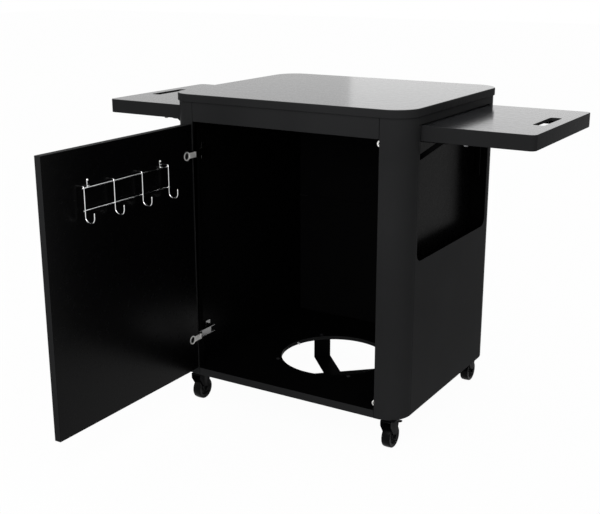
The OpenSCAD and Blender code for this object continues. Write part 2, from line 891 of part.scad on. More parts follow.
// Side of the bracket's arm, with the holes of its three pins
module arm_side() {
  top = shelf_z - skin_t - pivot_z;
  translate([pivot_x, pivot_z]) difference() {
    polygon([
      [-arm_lead, top], [arm_len, top], [arm_len, top - arm_tip_h],
      [arm_flat, -arm_depth], [-arm_lead + 4, -arm_depth], [-arm_lead, -arm_depth + 4]
    ]);
    circle(pivot_pin_r + run_fit);
    translate(strut_top) circle(strut_pin_r + run_fit);
    translate(lever_pin) circle(lever_pin_r + run_fit);
  }
}

// Bracket arms: channels, open below, that carry the shelf on its pivot
module shelf_arms() {
  top = shelf_z - skin_t;
  bracket_places() {
    for (y = [-arm_out, arm_in]) plate_y(y, bracket_t) arm_side();
    translate([pivot_x - arm_lead, -arm_out, top - bracket_t])
      cube([arm_lead + arm_len, 2 * arm_out, bracket_t]);
  }
}

module shelf_arms_right() {
  color(paint) shelf_arms();
}

module shelf_arms_left() {
  color(paint) mirror([1, 0, 0]) shelf_arms();
}

module leaf_screw_places() {
  bracket_places() for (dz = leaf_ears, s = [-1, 1])
    translate([wall_x, s * leaf_screw_y, pivot_z + dz + leaf_ear_h / 2]) children();
}

// Fin of the wall leaf: a plate with the pivot's hole and the strut's guide slot
module leaf_fin() {
  guide = foot_slot_top - foot_slot_low;
  translate([pivot_x, pivot_z]) difference() {
    union() {
      translate([wall_x - pivot_x, fin_low])
        square([pivot_x - wall_x + fin_out, fin_high - fin_low - fin_out]);
      translate([wall_x - pivot_x, fin_low]) square([pivot_x - wall_x, fin_high - fin_low]);
      translate([0, fin_high - fin_out]) circle(fin_out);
    }
    circle(pivot_pin_r + run_fit);
    translate([foot_slot_x, foot_slot_low + guide / 2])
      slot_plan(2 * foot_slot_r, guide + 2 * foot_slot_r);
  }
}

// Wall leaves: the fins and their base plates, screwed to the inner walls
module wall_leaves() {
  color(paint) both_sides() difference() {
    bracket_places() {
      plate_y(-fin_t / 2, fin_t) leaf_fin();
      translate([wall_x, -arm_out, pivot_z + fin_low])
        cube([bracket_t, 2 * arm_out, fin_high - fin_low]);
      for (dz = leaf_ears) translate([wall_x, -leaf_ear, pivot_z + dz])
        cube([bracket_t, 2 * leaf_ear, leaf_ear_h]);
    }
    leaf_screw_places() rotate([0, 90, 0])
      translate([0, 0, -5]) cylinder(h = 10, r = leaf_screw_r + run_fit);
  }
}

module leaf_screws() {
  color(paint) both_sides() leaf_screw_places() rotate([0, 90, 0]) {
    translate([0, 0, -6]) cylinder(h = 6 + bracket_t, r = leaf_screw_r);
    translate([0, 0, bracket_t]) cylinder(h = 1.6, r1 = 3.8, r2 = 2.6);
  }
}

// Pivot pins: through both arm sides and the fin, with a head at each end
module pivot_pins() {
  head_y = arm_out + pass_gap;
  color(paint) both_sides() bracket_places() translate([pivot_x, 0, pivot_z])
    rotate([90, 0, 0]) {
      translate([0, 0, -head_y - 1]) cylinder(h = 2 * head_y + 2, r = pivot_pin_r);
      for (s = [-1, 1]) translate([0, 0, s * (head_y + 0.75) - 0.75])
        cylinder(h = 1.5, r = pivot_pin_r + 1.8);
    }
}

// Strut bar, seen from the side, from its foot pin to its top pin
module strut_bar() {
  translate(strut_foot) rotate(strut_angle) difference() {
    union() {
      translate([0, -strut_w / 2]) square([strut_len, strut_w]);
      for (x = [0, strut_len]) translate([x, 0]) circle(strut_w / 2);
    }
    translate([strut_len, 0]) circle(strut_pin_r + run_fit);
  }
}

// Struts: on each bracket two bars, joined by the foot pin that runs in the guide slot
module struts() {
  bracket_places() translate([pivot_x, 0, pivot_z]) {
    for (y = [-bar_out, bar_in]) plate_y(y, bracket_t) strut_bar();
    translate([strut_foot[0], bar_out, strut_foot[1]]) rotate([90, 0, 0])
      cylinder(h = 2 * bar_out, r = strut_pin_r);
  }
}

module struts_right() {
  color(paint) struts();
}

module struts_left() {
  color(paint) mirror([1, 0, 0]) struts();
}

// Pins in the arm: a rivet at each side for the strut and a headed pin for the lever
module arm_pins() {
  bracket_places() translate([pivot_x, 0, pivot_z]) {
    for (s = [-1, 1]) translate([strut_top[0], 0, strut_top[1]]) rotate([s * -90, 0, 0]) {
      translate([0, 0, bar_in]) cylinder(h = arm_out - bar_in + 0.5, r = strut_pin_r);
      translate([0, 0, arm_out]) cylinder(h = 1.2, r = strut_pin_r + 1.4);
    }
    translate([lever_pin[0], arm_in, lever_pin[1]]) rotate([-90, 0, 0]) {
      cylinder(h = lever_in + lever_t + 1 - arm_in, r = lever_pin_r);
      translate([0, 0, lever_in + lever_t + pass_gap - arm_in])
        cylinder(h = 1.2, r = lever_pin_r + 1.4);
    }
  }
}

module arm_pins_right() {
  color(paint) arm_pins();
}

module arm_pins_left() {
  color(paint) mirror([1, 0, 0]) arm_pins();
}

// Side of the release lever: a hub, a slanted tail and the foot of its finger tab
module lever_side() {
  tail = [lever_tip_x, lever_tip_z] - lever_pin;
  difference() {
    union() {
      translate(lever_pin) circle(lever_hub_r);
      polygon([
        lever_pin + [-lever_hub_r + 1, 0], lever_pin + [lever_hub_r, 0],
        [lever_tip_x, lever_tip_z + lever_t], [lever_tip_x, lever_tip_z],
        [lever_tip_x - lever_w, lever_tip_z]
      ]);
    }
    translate(lever_pin) circle(lever_pin_r + run_fit);
  }
}

// Release lever beside the arm of the front bracket, on the shelf's inner side
module lever() {
  translate([pivot_x, -bracket_y, pivot_z]) {
    plate_y(lever_in, lever_t) lever_side();
    translate([lever_tip_x - lever_w, lever_in, lever_tip_z])
      cube([lever_w, lever_tab_w, lever_t]);
  }
}

module lever_right_front() {
  color(zinc) lever();
}

module lever_right_rear() {
  color(zinc) mirror([0, 1, 0]) lever();
}

module lever_left_front() {
  color(zinc) mirror([1, 0, 0]) lever();
}

module lever_left_rear() {
  color(zinc) mirror([1, 0, 0]) mirror([0, 1, 0]) lever();
}

// Casters. The wheel trails to the back of its swivel

module caster_at(side, end) {
  translate([side * caster_x, end * caster_y, 0]) children();
}

// Caster plates: each with its bolts' heads, ball race and swivel stem
module caster_plates() {
  low = crown_low - pass_gap;
  color(paint_dark) for (side = [-1, 1], end = [-1, 1]) caster_at(side, end) {
    plate_z(floor_gap - plate_t, plate_t)
      rounded_plan(caster_plate_w, caster_plate_w, 6);
    translate([0, 0, floor_gap - plate_t - race_h]) cylinder(h = race_h, r = race_r);
    translate([0, 0, low]) cylinder(h = floor_gap - plate_t - low, r = stem_r);
    translate([0, 0, low - stem_head_h]) cylinder(h = stem_head_h, r = stem_head_r);
    for (sx = [-1, 1], sy = [-1, 1])
      translate([sx * 23, sy * 23, floor_gap - plate_t - 3]) cylinder(h = 3, r = 5, $fn = 6);
  }
}

// Side of the fork: a broad cheek that narrows down to the axle's boss
module fork_side() {
  difference() {
    union() {
      polygon([
        [-fork_front, crown_low + crown_t], [fork_back, crown_low + crown_t],
        [fork_back, crown_low - fork_skirt],
        [caster_trail + fork_boss_r - 0.5, wheel_r + 3],
        [caster_trail - fork_boss_r + 0.5, wheel_r + 3],
        [-fork_front, crown_low - fork_skirt]
      ]);
      translate([caster_trail, wheel_r]) circle(fork_boss_r);
    }
    translate([caster_trail, wheel_r]) circle(axle_r + run_fit);
  }
}

// Fork: two cheeks, the crown with its ring, and the axle bolt between the cheeks
module fork(with_pedal) {
  out = fork_gap + fork_t;
  head_x = out + run_fit;
  difference() {
    union() {
      for (x = [-out, fork_gap]) plate_x(x, fork_t) fork_side();
      plate_z(crown_low, crown_t) translate([-out, -fork_front])
        square([2 * out, fork_front + fork_back]);
      translate([0, 0, crown_low]) cylinder(h = crown_t + crown_ring_h, r = race_r);
    }
    translate([0, 0, crown_low - 1])
      cylinder(h = crown_t + crown_ring_h + 2, r = stem_r + run_fit);
    if (with_pedal) translate([-out - 1, pedal_y, crown_low - pedal_drop])
      rotate([0, 90, 0]) cylinder(h = 2 * out + 2, r = pedal_pin_r + run_fit);
  }
  translate([0, caster_trail, wheel_r]) rotate([0, 90, 0]) {
    translate([0, 0, -head_x - axle_head_h]) cylinder(h = axle_head_h, r = axle_head_r, $fn = 6);
    translate([0, 0, -head_x - 1]) cylinder(h = 2 * head_x + 2, r = axle_r);
    translate([0, 0, head_x]) cylinder(h = axle_head_h, r = axle_head_r, $fn = 6);
  }
  if (with_pedal) translate([-out - 1, pedal_y, crown_low - pedal_drop])
    rotate([0, 90, 0]) cylinder(h = 2 * out + 2, r = pedal_pin_r);
}

module fork_fr() {
  color(paint_dark) caster_at(1, -1) fork(true);
}

module fork_fl() {
  color(paint_dark) caster_at(-1, -1) fork(true);
}

module fork_rr() {
  color(paint_dark) caster_at(1, 1) fork(false);
}

module fork_rl() {
  color(paint_dark) caster_at(-1, 1) fork(false);
}

module on_axle() {
  translate([0, caster_trail, wheel_r]) rotate([0, 90, 0]) children();
}

// Tyre: a ring with rounded shoulders on the hub's rim
module tyre() {
  on_axle() rotate_extrude() translate([hub_r, 0]) {
    h = tyre_w / 2;
    r = wheel_r - hub_r;
    translate([0, -h]) square([r - tyre_round, 2 * h]);
    translate([0, -h + tyre_round]) square([r, 2 * (h - tyre_round)]);
    for (s = [-1, 1]) translate([r - tyre_round, s * (h - tyre_round)]) circle(tyre_round);
  }
}

module tyre_fr() {
  color(rubber) caster_at(1, -1) tyre();
}

module tyre_fl() {
  color(rubber) caster_at(-1, -1) tyre();
}

module tyre_rr() {
  color(rubber) caster_at(1, 1) tyre();
}

module tyre_rl() {
  color(rubber) caster_at(-1, 1) tyre();
}

// Hub: a rim, a thin web and a long bore on the axle
module hub() {
  rim_t = 3;
  web_t = 6;
  boss_r = axle_r + 4;
  on_axle() difference() {
    union() {
      translate([0, 0, -tyre_w / 2 + 1]) difference() {
        cylinder(h = tyre_w - 2, r = hub_r);
        translate([0, 0, -1]) cylinder(h = tyre_w, r = hub_r - rim_t);
      }
      translate([0, 0, -web_t / 2]) cylinder(h = web_t, r = hub_r - rim_t / 2);
      translate([0, 0, -hub_bore_len / 2]) cylinder(h = hub_bore_len, r = boss_r);
    }
    translate([0, 0, -hub_bore_len]) cylinder(h = 2 * hub_bore_len, r = axle_r + run_fit);
  }
}

module hub_fr() {
  color(hub_grey) caster_at(1, -1) hub();
}

module hub_fl() {
  color(hub_grey) caster_at(-1, -1) hub();
}

module hub_rr() {
  color(hub_grey) caster_at(1, 1) hub();
}

module hub_rl() {
  color(hub_grey) caster_at(-1, 1) hub();
}

// Side of the brake pedal: its hub and its sloping arm
module pedal_side() {
  difference() {
    union() {
      circle(pedal_hub_r);
      rotate(-pedal_slope) translate([0, -pedal_t / 2]) square([pedal_len, pedal_t]);
    }
    circle(pedal_pin_r + run_fit);
  }
}

// Brake pedal of a front caster: it turns between the cheeks, with a thicker tread
module pedal() {
  inner = 2 * (fork_gap - pass_gap);
  tread = pedal_t + 1.6;
  translate([0, pedal_y, crown_low - pedal_drop]) {
    plate_x(-inner / 2, inner) pedal_side();
    plate_x(-pedal_w / 2, pedal_w) rotate(-pedal_slope)
      translate([pedal_len - pedal_tread_len, -tread / 2]) square([pedal_tread_len, tread]);
  }
}

module pedal_fr() {
  color(paint_dark) caster_at(1, -1) pedal();
}

module pedal_fl() {
  color(paint_dark) caster_at(-1, -1) pedal();
}

top_plate();
front_rail();
rear_rail();
side_rails();
post_front_right();
post_front_left();
rear_posts();
side_panel_right();
side_panel_left();
inner_walls();
pocket_liners();
back_panel_upper();
back_panel_lower();
base_pan();
tank_tray();
tray_bolts();
lock_screw_nut();
lock_screw();
door_catches();
hinge_plates();
hinge_arms();
hinge_pins();
hinge_cups();
door_outer_skin();
door_inner_skin();
door_stiffener();
door_handle();
hook_rack();
rack_screws();
shelf_pan_right();
shelf_pan_left();
shelf_arms_right();
shelf_arms_left();
wall_leaves();
leaf_screws();
pivot_pins();
struts_right();
struts_left();
arm_pins_right();
arm_pins_left();
lever_right_front();
lever_right_rear();
lever_left_front();
lever_left_rear();
caster_plates();
fork_fr();
fork_fl();
fork_rr();
fork_rl();
tyre_fr();
tyre_fl();
tyre_rr();
tyre_rl();
hub_fr();
hub_fl();
hub_rr();
hub_rl();
pedal_fr();
pedal_fl();
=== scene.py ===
"""Looks of the grill cart: formed sheet metal, chrome wire, casters and satin black paint.

All sizes are metres in the cart's own frame: X to the right, Y to the back, Z up.
The fixed frame is loaded first, and every piece takes its place from it.
"""

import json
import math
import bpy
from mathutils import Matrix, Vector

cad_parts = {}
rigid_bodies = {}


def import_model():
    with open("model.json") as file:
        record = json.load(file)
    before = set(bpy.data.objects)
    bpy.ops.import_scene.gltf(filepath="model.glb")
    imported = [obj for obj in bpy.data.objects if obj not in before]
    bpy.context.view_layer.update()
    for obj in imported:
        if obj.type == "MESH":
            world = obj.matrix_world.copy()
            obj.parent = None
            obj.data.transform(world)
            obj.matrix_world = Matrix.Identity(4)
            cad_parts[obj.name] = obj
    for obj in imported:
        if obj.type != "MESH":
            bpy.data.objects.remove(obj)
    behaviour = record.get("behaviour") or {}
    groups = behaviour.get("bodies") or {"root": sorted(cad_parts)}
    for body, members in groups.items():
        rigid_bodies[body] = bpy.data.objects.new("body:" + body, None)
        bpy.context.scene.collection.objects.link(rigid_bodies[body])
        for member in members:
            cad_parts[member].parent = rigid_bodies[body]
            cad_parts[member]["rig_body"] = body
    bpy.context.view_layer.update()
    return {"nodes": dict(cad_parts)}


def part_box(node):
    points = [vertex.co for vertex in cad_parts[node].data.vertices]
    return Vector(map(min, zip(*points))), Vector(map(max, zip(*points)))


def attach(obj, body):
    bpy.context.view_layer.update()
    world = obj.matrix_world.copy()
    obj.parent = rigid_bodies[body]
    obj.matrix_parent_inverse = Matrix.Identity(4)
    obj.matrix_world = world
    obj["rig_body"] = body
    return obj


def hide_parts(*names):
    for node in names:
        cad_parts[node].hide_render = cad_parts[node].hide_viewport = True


bl_info = {
    "name": "Grill Cart",
    "version": (1, 0, 0),
    "blender": (4, 5, 0),
    "location": "3D View > Sidebar > Grill Cart",
    "description": "Builds the visible pieces and finishes of a grill cart on its fixed frame",
    "category": "Object",
}

import bmesh
import bpy
import numpy as np
from bpy.props import FloatProperty, FloatVectorProperty, IntProperty, PointerProperty

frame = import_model()
NODES = frame["nodes"]

# Thickness of the outer and inner sheet metal, the bottle tray and the casters' forks
SHEET = 0.0015
INNER_SHEET = 0.0012
TRAY_SHEET = 0.003
FORK_SHEET = 0.002

# Fold radius of the inner sheet metal and the bottle tray, and rounding of the catches' edges
INNER_FOLD = 0.0011
TRAY_FOLD = 0.0028
CATCH_EDGE = 0.0006

# Angles from which an edge counts as sharp: on copies of CAD nodes, on new pieces and on the hubs
SHARP_ANGLE = math.radians(30)
PIECE_SHARP = 0.6
HUB_SHARP = 0.9

# Points of a copy that are nearer than this become one, and so do faces that meet at less than this
MERGE_DISTANCE = 5e-6
FLAT_ANGLE = math.radians(0.3)

# Smallest corner radius of an outline
LEAST_RADIUS = 0.0002


# Sizes and colours that a user would change


class CartSizes(bpy.types.PropertyGroup):
    """Sizes of the rounding and the detail on the pieces"""

    worktop_fold: FloatProperty(
        name="Worktop fold radius",
        description="Outer radius of the fold between the worktop and its band",
        default=0.0028,
        unit="LENGTH",
    )
    sheet_fold: FloatProperty(
        name="Sheet fold radius",
        description="Outer radius of the tight folds of rails, posts, pans and forks",
        default=0.0014,
        unit="LENGTH",
    )
    cut_edge: FloatProperty(
        name="Cut edge",
        description="Rounding of the cut edges of the sheet metal",
        default=0.0004,
        unit="LENGTH",
    )
    machined_edge: FloatProperty(
        name="Machined edge",
        description="Rounding of the edges of screws, pins, hinges and other small metal parts",
        default=0.0003,
        unit="LENGTH",
    )
    rack_wire: FloatProperty(
        name="Rack wire",
        description="Radius of the hook rack's wire",
        default=0.0016,
        unit="LENGTH",
    )
    rack_height: FloatProperty(
        name="Rack height",
        description="Height of the rack's upper bar",
        default=0.738,
        unit="LENGTH",
    )
    rack_bar_gap: FloatProperty(
        name="Rack bar gap",
        description="Distance between the rack's two bars",
        default=0.055,
        unit="LENGTH",
    )
    rack_bar_out: FloatProperty(
        name="Rack bar distance",
        description="Distance of the rack's bars from the door's inner face",
        default=0.011,
        unit="LENGTH",
    )
    hook_count: IntProperty(
        name="Hooks",
        description="Number of hooks on the rack",
        default=4,
    )
    tab_width: FloatProperty(
        name="Tab width",
        description="Width of the rack's fixing tabs",
        default=0.006,
        unit="LENGTH",
    )
    tab_height: FloatProperty(
        name="Tab height",
        description="Height of the rack's fixing tabs",
        default=0.022,
        unit="LENGTH",
    )
    hook_bend: FloatProperty(
        name="Hook bend",
        description="Radius of the bend at the top of each wire hook",
        default=0.005,
        unit="LENGTH",
    )
    cup_rim_radius: FloatProperty(
        name="Cup rim radius",
        description="Outer radius of the hinge cups' rims",
        default=0.0125,
        unit="LENGTH",
    )
    handle_radius: FloatProperty(
        name="Handle radius",
        description="Radius of the door handle's bar",
        default=0.005,
        unit="LENGTH",
    )
    tyre_shoulder: FloatProperty(
        name="Tyre shoulder",
        description="Radius of the tyres' rounded shoulders",
        default=0.003,
        unit="LENGTH",
    )
    round_steps: IntProperty(
        name="Round steps",
        description="Number of sides of a full turn on lathe-turned pieces",
        default=96,
    )


class CartColours(bpy.types.PropertyGroup):
    """Colours of the finishes"""

    body_paint: FloatVectorProperty(
        name="Body paint",
        description="Satin paint of the cabinet and the door's outside",
        default=(0.0142, 0.0144, 0.0148),
        subtype="COLOR",
    )
    # Painted shade: the same black as the body paint, darkened tenfold for the shade inside the cabinet, in
    # the side pockets and under the shelves. It paints the inner walls, the pocket liners, the brackets,
    # the bottle tray, the floor pan's top and the left post's inward faces
    inner_paint: FloatVectorProperty(
        name="Inner shade paint",
        description="Paint of the inner walls, the brackets and the top of the floor pan",
        default=(0.0014, 0.0014, 0.0015),
        subtype="COLOR",
    )
    # Painted shade: the door's inner sheet, darker than the body paint for the shade of the cabinet that it
    # faces
    door_inside: FloatVectorProperty(
        name="Door inside shade",
        description="Paint of the door's inner sheet",
        default=(0.0008, 0.0008, 0.0009),
        subtype="COLOR",
    )
    # Painted shade: the back panels' faces towards the inside, darkened for the shade in the cabinet
    back_inside: FloatVectorProperty(
        name="Back inside shade",
        description="Paint of the back panels towards the inside",
        default=(0.003, 0.003, 0.0032),
        subtype="COLOR",
    )
    worktop_paint: FloatVectorProperty(
        name="Worktop paint",
        description="Lacquered paint on top of the worktop and the side shelves",
        default=(0.018, 0.0185, 0.02),
        subtype="COLOR",
    )
    nickel: FloatVectorProperty(
        name="Nickel",
        description="Plating of the hinge cups and pins, the catches and the rack's screws",
        default=(0.88, 0.87, 0.85),
        subtype="COLOR",
    )
    # Painted shade: a dark copy of the nickel for the hinge arms and base plates, which sit in the shade of
    # the cabinet
    shaded_nickel: FloatVectorProperty(
        name="Shaded nickel",
        description="Plating of the hinge arms and their base plates",
        default=(0.22, 0.22, 0.22),
        subtype="COLOR",
    )
    chrome: FloatVectorProperty(
        name="Chrome",
        description="Plating of the hook rack",
        default=(0.82, 0.82, 0.83),
        subtype="COLOR",
    )
    zinc: FloatVectorProperty(
        name="Zinc",
        description="Dark plating of the release levers and the door's stiffener",
        default=(0.2, 0.2, 0.205),
        subtype="COLOR",
    )
    bright_zinc: FloatVectorProperty(
        name="Bright zinc",
        description="Plating of the lock screw and its nut",
        default=(0.75, 0.75, 0.75),
        subtype="COLOR",
    )
    handle_steel: FloatVectorProperty(
        name="Handle steel",
        description="Brushed steel of the door handle",
        default=(0.55, 0.55, 0.55),
        subtype="COLOR",
    )
    # The casters' own dark coating; on the discs in the hinge cups it paints shade
    caster_coat: FloatVectorProperty(
        name="Caster coating",
        description="Coating of the casters' metal and the hinge cups' dampers",
        default=(0.003, 0.003, 0.0032),
        subtype="COLOR",
    )
    rubber: FloatVectorProperty(
        name="Tyre rubber",
        description="Rubber of the caster tyres",
        default=(0.0012, 0.0012, 0.0013),
        subtype="COLOR",
    )
    rubber_dust: FloatVectorProperty(
        name="Tyre dust",
        description="Dusty tint of the caster tyres",
        default=(0.0025, 0.0025, 0.0025),
        subtype="COLOR",
    )
    hub: FloatVectorProperty(
        name="Hub plastic",
        description="Moulded plastic of the wheel hubs",
        default=(0.004, 0.004, 0.0042),
        subtype="COLOR",
    )
    hub_dust: FloatVectorProperty(
        name="Hub dust",
        description="Dusty tint of the wheel hubs",
        default=(0.009, 0.009, 0.009),
        subtype="COLOR",
    )


class CartStage(bpy.types.PropertyGroup):
    """Camera, floor and light"""

    lens: FloatProperty(
        name="Lens",
        description="Focal length of the camera in millimetres",
        default=60.93,
    )
    camera_place: FloatVectorProperty(
        name="Camera place",
        description="Where the camera stands",
        default=(1.4083, -2.5184, 1.2534),
        subtype="TRANSLATION",
        unit="LENGTH",
    )
    camera_turn: FloatVectorProperty(
        name="Camera turn",
        description="How the camera is turned about X, Y and Z",
        default=(math.radians(73.9), 0.001, math.radians(31.4)),
        subtype="EULER",
    )
    floor_size: FloatProperty(
        name="Floor size",
        description="Width of the floor",
        default=40.0,
        unit="LENGTH",
    )


# Shader parts


COLOUR, NUMBER, VECTOR = "NodeSocketColor", "NodeSocketFloat", "NodeSocketVector"

# The values that a noise texture mostly keeps between
NOISE_RANGE = (0.3, 0.7)


def new_group(name, inputs):
    """An empty shader group with a colour, a roughness and a height. Inputs are (name, type, default)."""
    group = bpy.data.node_groups.new(name, "ShaderNodeTree")
    for label, kind, default in inputs:
        socket = group.interface.new_socket(name=label, in_out="INPUT", socket_type=kind)
        socket.default_value = default
    for label, kind in (("Colour", COLOUR), ("Roughness", NUMBER), ("Height", NUMBER)):
        group.interface.new_socket(name=label, in_out="OUTPUT", socket_type=kind)
    start = group.nodes.new("NodeGroupInput")
    end = group.nodes.new("NodeGroupOutput")
    return group, start, end


def noise(tree, vector, scale, detail=2.0, roughness=0.5):
    """A noise texture node. Scale may be a number or a socket."""
    node = tree.nodes.new("ShaderNodeTexNoise")
    node.inputs["Detail"].default_value = detail
    node.inputs["Roughness"].default_value = roughness
    if isinstance(scale, (int, float)):
        node.inputs["Scale"].default_value = scale
    else:
        tree.links.new(scale, node.inputs["Scale"])
    tree.links.new(vector, node.inputs["Vector"])
    return node.outputs["Fac"]


def spread(tree, value, low, high, to_low, to_high):
    """Carries a value from one range to another. Each limit may be a number or a socket."""
    node = tree.nodes.new("ShaderNodeMapRange")
    tree.links.new(value, node.inputs["Value"])
    for label, limit in zip(("From Min", "From Max", "To Min", "To Max"), (low, high, to_low, to_high)):
        if isinstance(limit, (int, float)):
            node.inputs[label].default_value = limit
        else:
            tree.links.new(limit, node.inputs[label])
    return node.outputs["Result"]


def multiply(tree, first, second):
    """The product of two sockets."""
    node = tree.nodes.new("ShaderNodeMath")
    node.operation = "MULTIPLY"
    tree.links.new(first, node.inputs[0])
    tree.links.new(second, node.inputs[1])
    return node.outputs[0]


def mix_colours(tree, share):
    """A mix of two colours by a socket's share: its two colour inputs and its result."""
    node = tree.nodes.new("ShaderNodeMix")
    node.data_type = "RGBA"
    tree.links.new(share, node.inputs[0])
    return node.inputs[6], node.inputs[7], node.outputs[2]


def powder_coat_group():
    """Paint sprayed as powder: a fine pebbled height, and a slow drift of tint and roughness."""
    group, start, end = new_group(
        "Powder coat",
        [
            ("Colour", COLOUR, (0.02, 0.02, 0.02, 1)),
            ("Drift", NUMBER, 0.12),
            ("Pebble scale", NUMBER, 900.0),
            ("Roughness low", NUMBER, 0.3),
            ("Roughness high", NUMBER, 0.4),
        ],
    )
    place = group.nodes.new("ShaderNodeTexCoord").outputs["Object"]
    slow = noise(group, place, scale=3.5, detail=4.0)
    fine = noise(group, place, start.outputs["Pebble scale"])
    film = noise(group, place, scale=60.0, detail=3.0)
    shade = group.nodes.new("ShaderNodeHueSaturation")
    limits = []
    for operation in ("SUBTRACT", "ADD"):
        limit = group.nodes.new("ShaderNodeMath")
        limit.operation = operation
        limit.inputs[0].default_value = 1.0
        group.links.new(start.outputs["Drift"], limit.inputs[1])
        limits.append(limit.outputs[0])
    group.links.new(spread(group, slow, *NOISE_RANGE, *limits), shade.inputs["Value"])
    group.links.new(start.outputs["Colour"], shade.inputs["Color"])
    low, high = start.outputs["Roughness low"], start.outputs["Roughness high"]
    rough = spread(group, film, *NOISE_RANGE, low, high)
    group.links.new(shade.outputs["Color"], end.inputs["Colour"])
    group.links.new(rough, end.inputs["Roughness"])
    group.links.new(fine, end.inputs["Height"])
    return group


def plated_group():
    """Plated metal: drawn lines along one axis, faint clouds of tint, and roughness that follows them."""
    group, start, end = new_group(
        "Plated metal",
        [
            ("Colour", COLOUR, (0.7, 0.7, 0.7, 1)),
            ("Line stretch", VECTOR, (1.0, 1.0, 0.06)),
            ("Line scale", NUMBER, 700.0),
            ("Roughness low", NUMBER, 0.18),
            ("Roughness high", NUMBER, 0.3),
        ],
    )
    place = group.nodes.new("ShaderNodeTexCoord").outputs["Object"]
    stretch = group.nodes.new("ShaderNodeVectorMath")
    stretch.operation = "MULTIPLY"
    group.links.new(place, stretch.inputs[0])
    group.links.new(start.outputs["Line stretch"], stretch.inputs[1])
    lines = noise(group, stretch.outputs["Vector"], start.outputs["Line scale"])
    clouds = noise(group, place, scale=45.0, detail=3.0)
    shade = group.nodes.new("ShaderNodeHueSaturation")
    darkest, brightest = 0.86, 1.06
    group.links.new(spread(group, clouds, *NOISE_RANGE, darkest, brightest), shade.inputs["Value"])
    group.links.new(start.outputs["Colour"], shade.inputs["Color"])
    both = multiply(group, lines, clouds)
    smooth, worn = 0.12, 0.42
    low, high = start.outputs["Roughness low"], start.outputs["Roughness high"]
    rough = spread(group, both, smooth, worn, low, high)
    group.links.new(shade.outputs["Color"], end.inputs["Colour"])
    group.links.new(rough, end.inputs["Roughness"])
    group.links.new(lines, end.inputs["Height"])
    return group


def moulded_group():
    """Moulded rubber or plastic: a fine leathery height and a dusty drift of tint."""
    group, start, end = new_group(
        "Moulded",
        [
            ("Colour", COLOUR, (0.02, 0.02, 0.02, 1)),
            ("Dust colour", COLOUR, (0.05, 0.05, 0.05, 1)),
            ("Grain scale", NUMBER, 1200.0),
            ("Roughness low", NUMBER, 0.5),
            ("Roughness high", NUMBER, 0.65),
        ],
    )
    place = group.nodes.new("ShaderNodeTexCoord").outputs["Object"]
    grain = noise(group, place, start.outputs["Grain scale"], detail=3.0)
    dust = noise(group, place, scale=90.0, detail=5.0, roughness=0.65)
    clean, dusty, most_dust = 0.45, 0.8, 0.6
    first, second, mixed = mix_colours(group, spread(group, dust, clean, dusty, 0.0, most_dust))
    group.links.new(start.outputs["Colour"], first)
    group.links.new(start.outputs["Dust colour"], second)
    low, high = start.outputs["Roughness low"], start.outputs["Roughness high"]
    rough = spread(group, dust, *NOISE_RANGE, low, high)
    group.links.new(mixed, end.inputs["Colour"])
    group.links.new(rough, end.inputs["Roughness"])
    group.links.new(grain, end.inputs["Height"])
    return group


def finish_material(name, group, values, bump_depth, shader):
    """A material: one Principled shader fed by one group's colour, roughness and height."""
    material = bpy.data.materials.new(name)
    material.use_nodes = True
    tree = material.node_tree
    surface = tree.nodes["Principled BSDF"]
    part = tree.nodes.new("ShaderNodeGroup")
    part.node_tree = group
    for label, value in values.items():
        part.inputs[label].default_value = value
    bump = tree.nodes.new("ShaderNodeBump")
    bump.inputs["Strength"].default_value = 1.0
    bump.inputs["Distance"].default_value = bump_depth
    tree.links.new(part.outputs["Colour"], surface.inputs["Base Color"])
    tree.links.new(part.outputs["Roughness"], surface.inputs["Roughness"])
    tree.links.new(part.outputs["Height"], bump.inputs["Height"])
    tree.links.new(bump.outputs["Normal"], surface.inputs["Normal"])
    for label, value in shader.items():
        surface.inputs[label].default_value = value
    return material


def facing_share(tree, axis):
    """One on the faces that look along an axis, X, Y or Z, and nought on those that look elsewhere.

    Between the two cosines of the face's angle to the axis it rises evenly.
    """
    away, along = 0.75, 0.98
    parts = tree.nodes.new("ShaderNodeSeparateXYZ")
    tree.links.new(tree.nodes.new("ShaderNodeTexCoord").outputs["Normal"], parts.inputs[0])
    return spread(tree, parts.outputs[axis], away, along, 0.0, 1.0)


def lacquer_sheen(material):
    """The coat on the faces that look up grows with the angle at which they are seen."""
    square, slanted = 0.4, 0.72
    thin, full = 0.08, 0.7
    tree = material.node_tree
    facing = tree.nodes.new("ShaderNodeLayerWeight")
    facing.inputs["Blend"].default_value = 0.5
    coat = spread(tree, facing.outputs["Facing"], square, slanted, thin, full)
    weight = multiply(tree, coat, facing_share(tree, "Z"))
    tree.links.new(weight, tree.nodes["Principled BSDF"].inputs["Coat Weight"])


def facing_colour(material, axis, colour):
    """Gives the faces that look along an axis another colour than the finish's own. On the floor pan, the
    back panels and the left post this paints shade on the inner faces; on the worktop it gives the faces
    that look up the lacquer's colour.
    """
    tree = material.node_tree
    part = next(node for node in tree.nodes if node.bl_idname == "ShaderNodeGroup")
    first, second, mixed = mix_colours(tree, facing_share(tree, axis))
    first.default_value = part.inputs["Colour"].default_value
    second.default_value = colour
    tree.links.new(mixed, part.inputs["Colour"])


LEVEL = "Specular IOR Level"
LACQUER = {LEVEL: 0.003, "Coat Roughness": 0.14, "Coat IOR": 1.6}

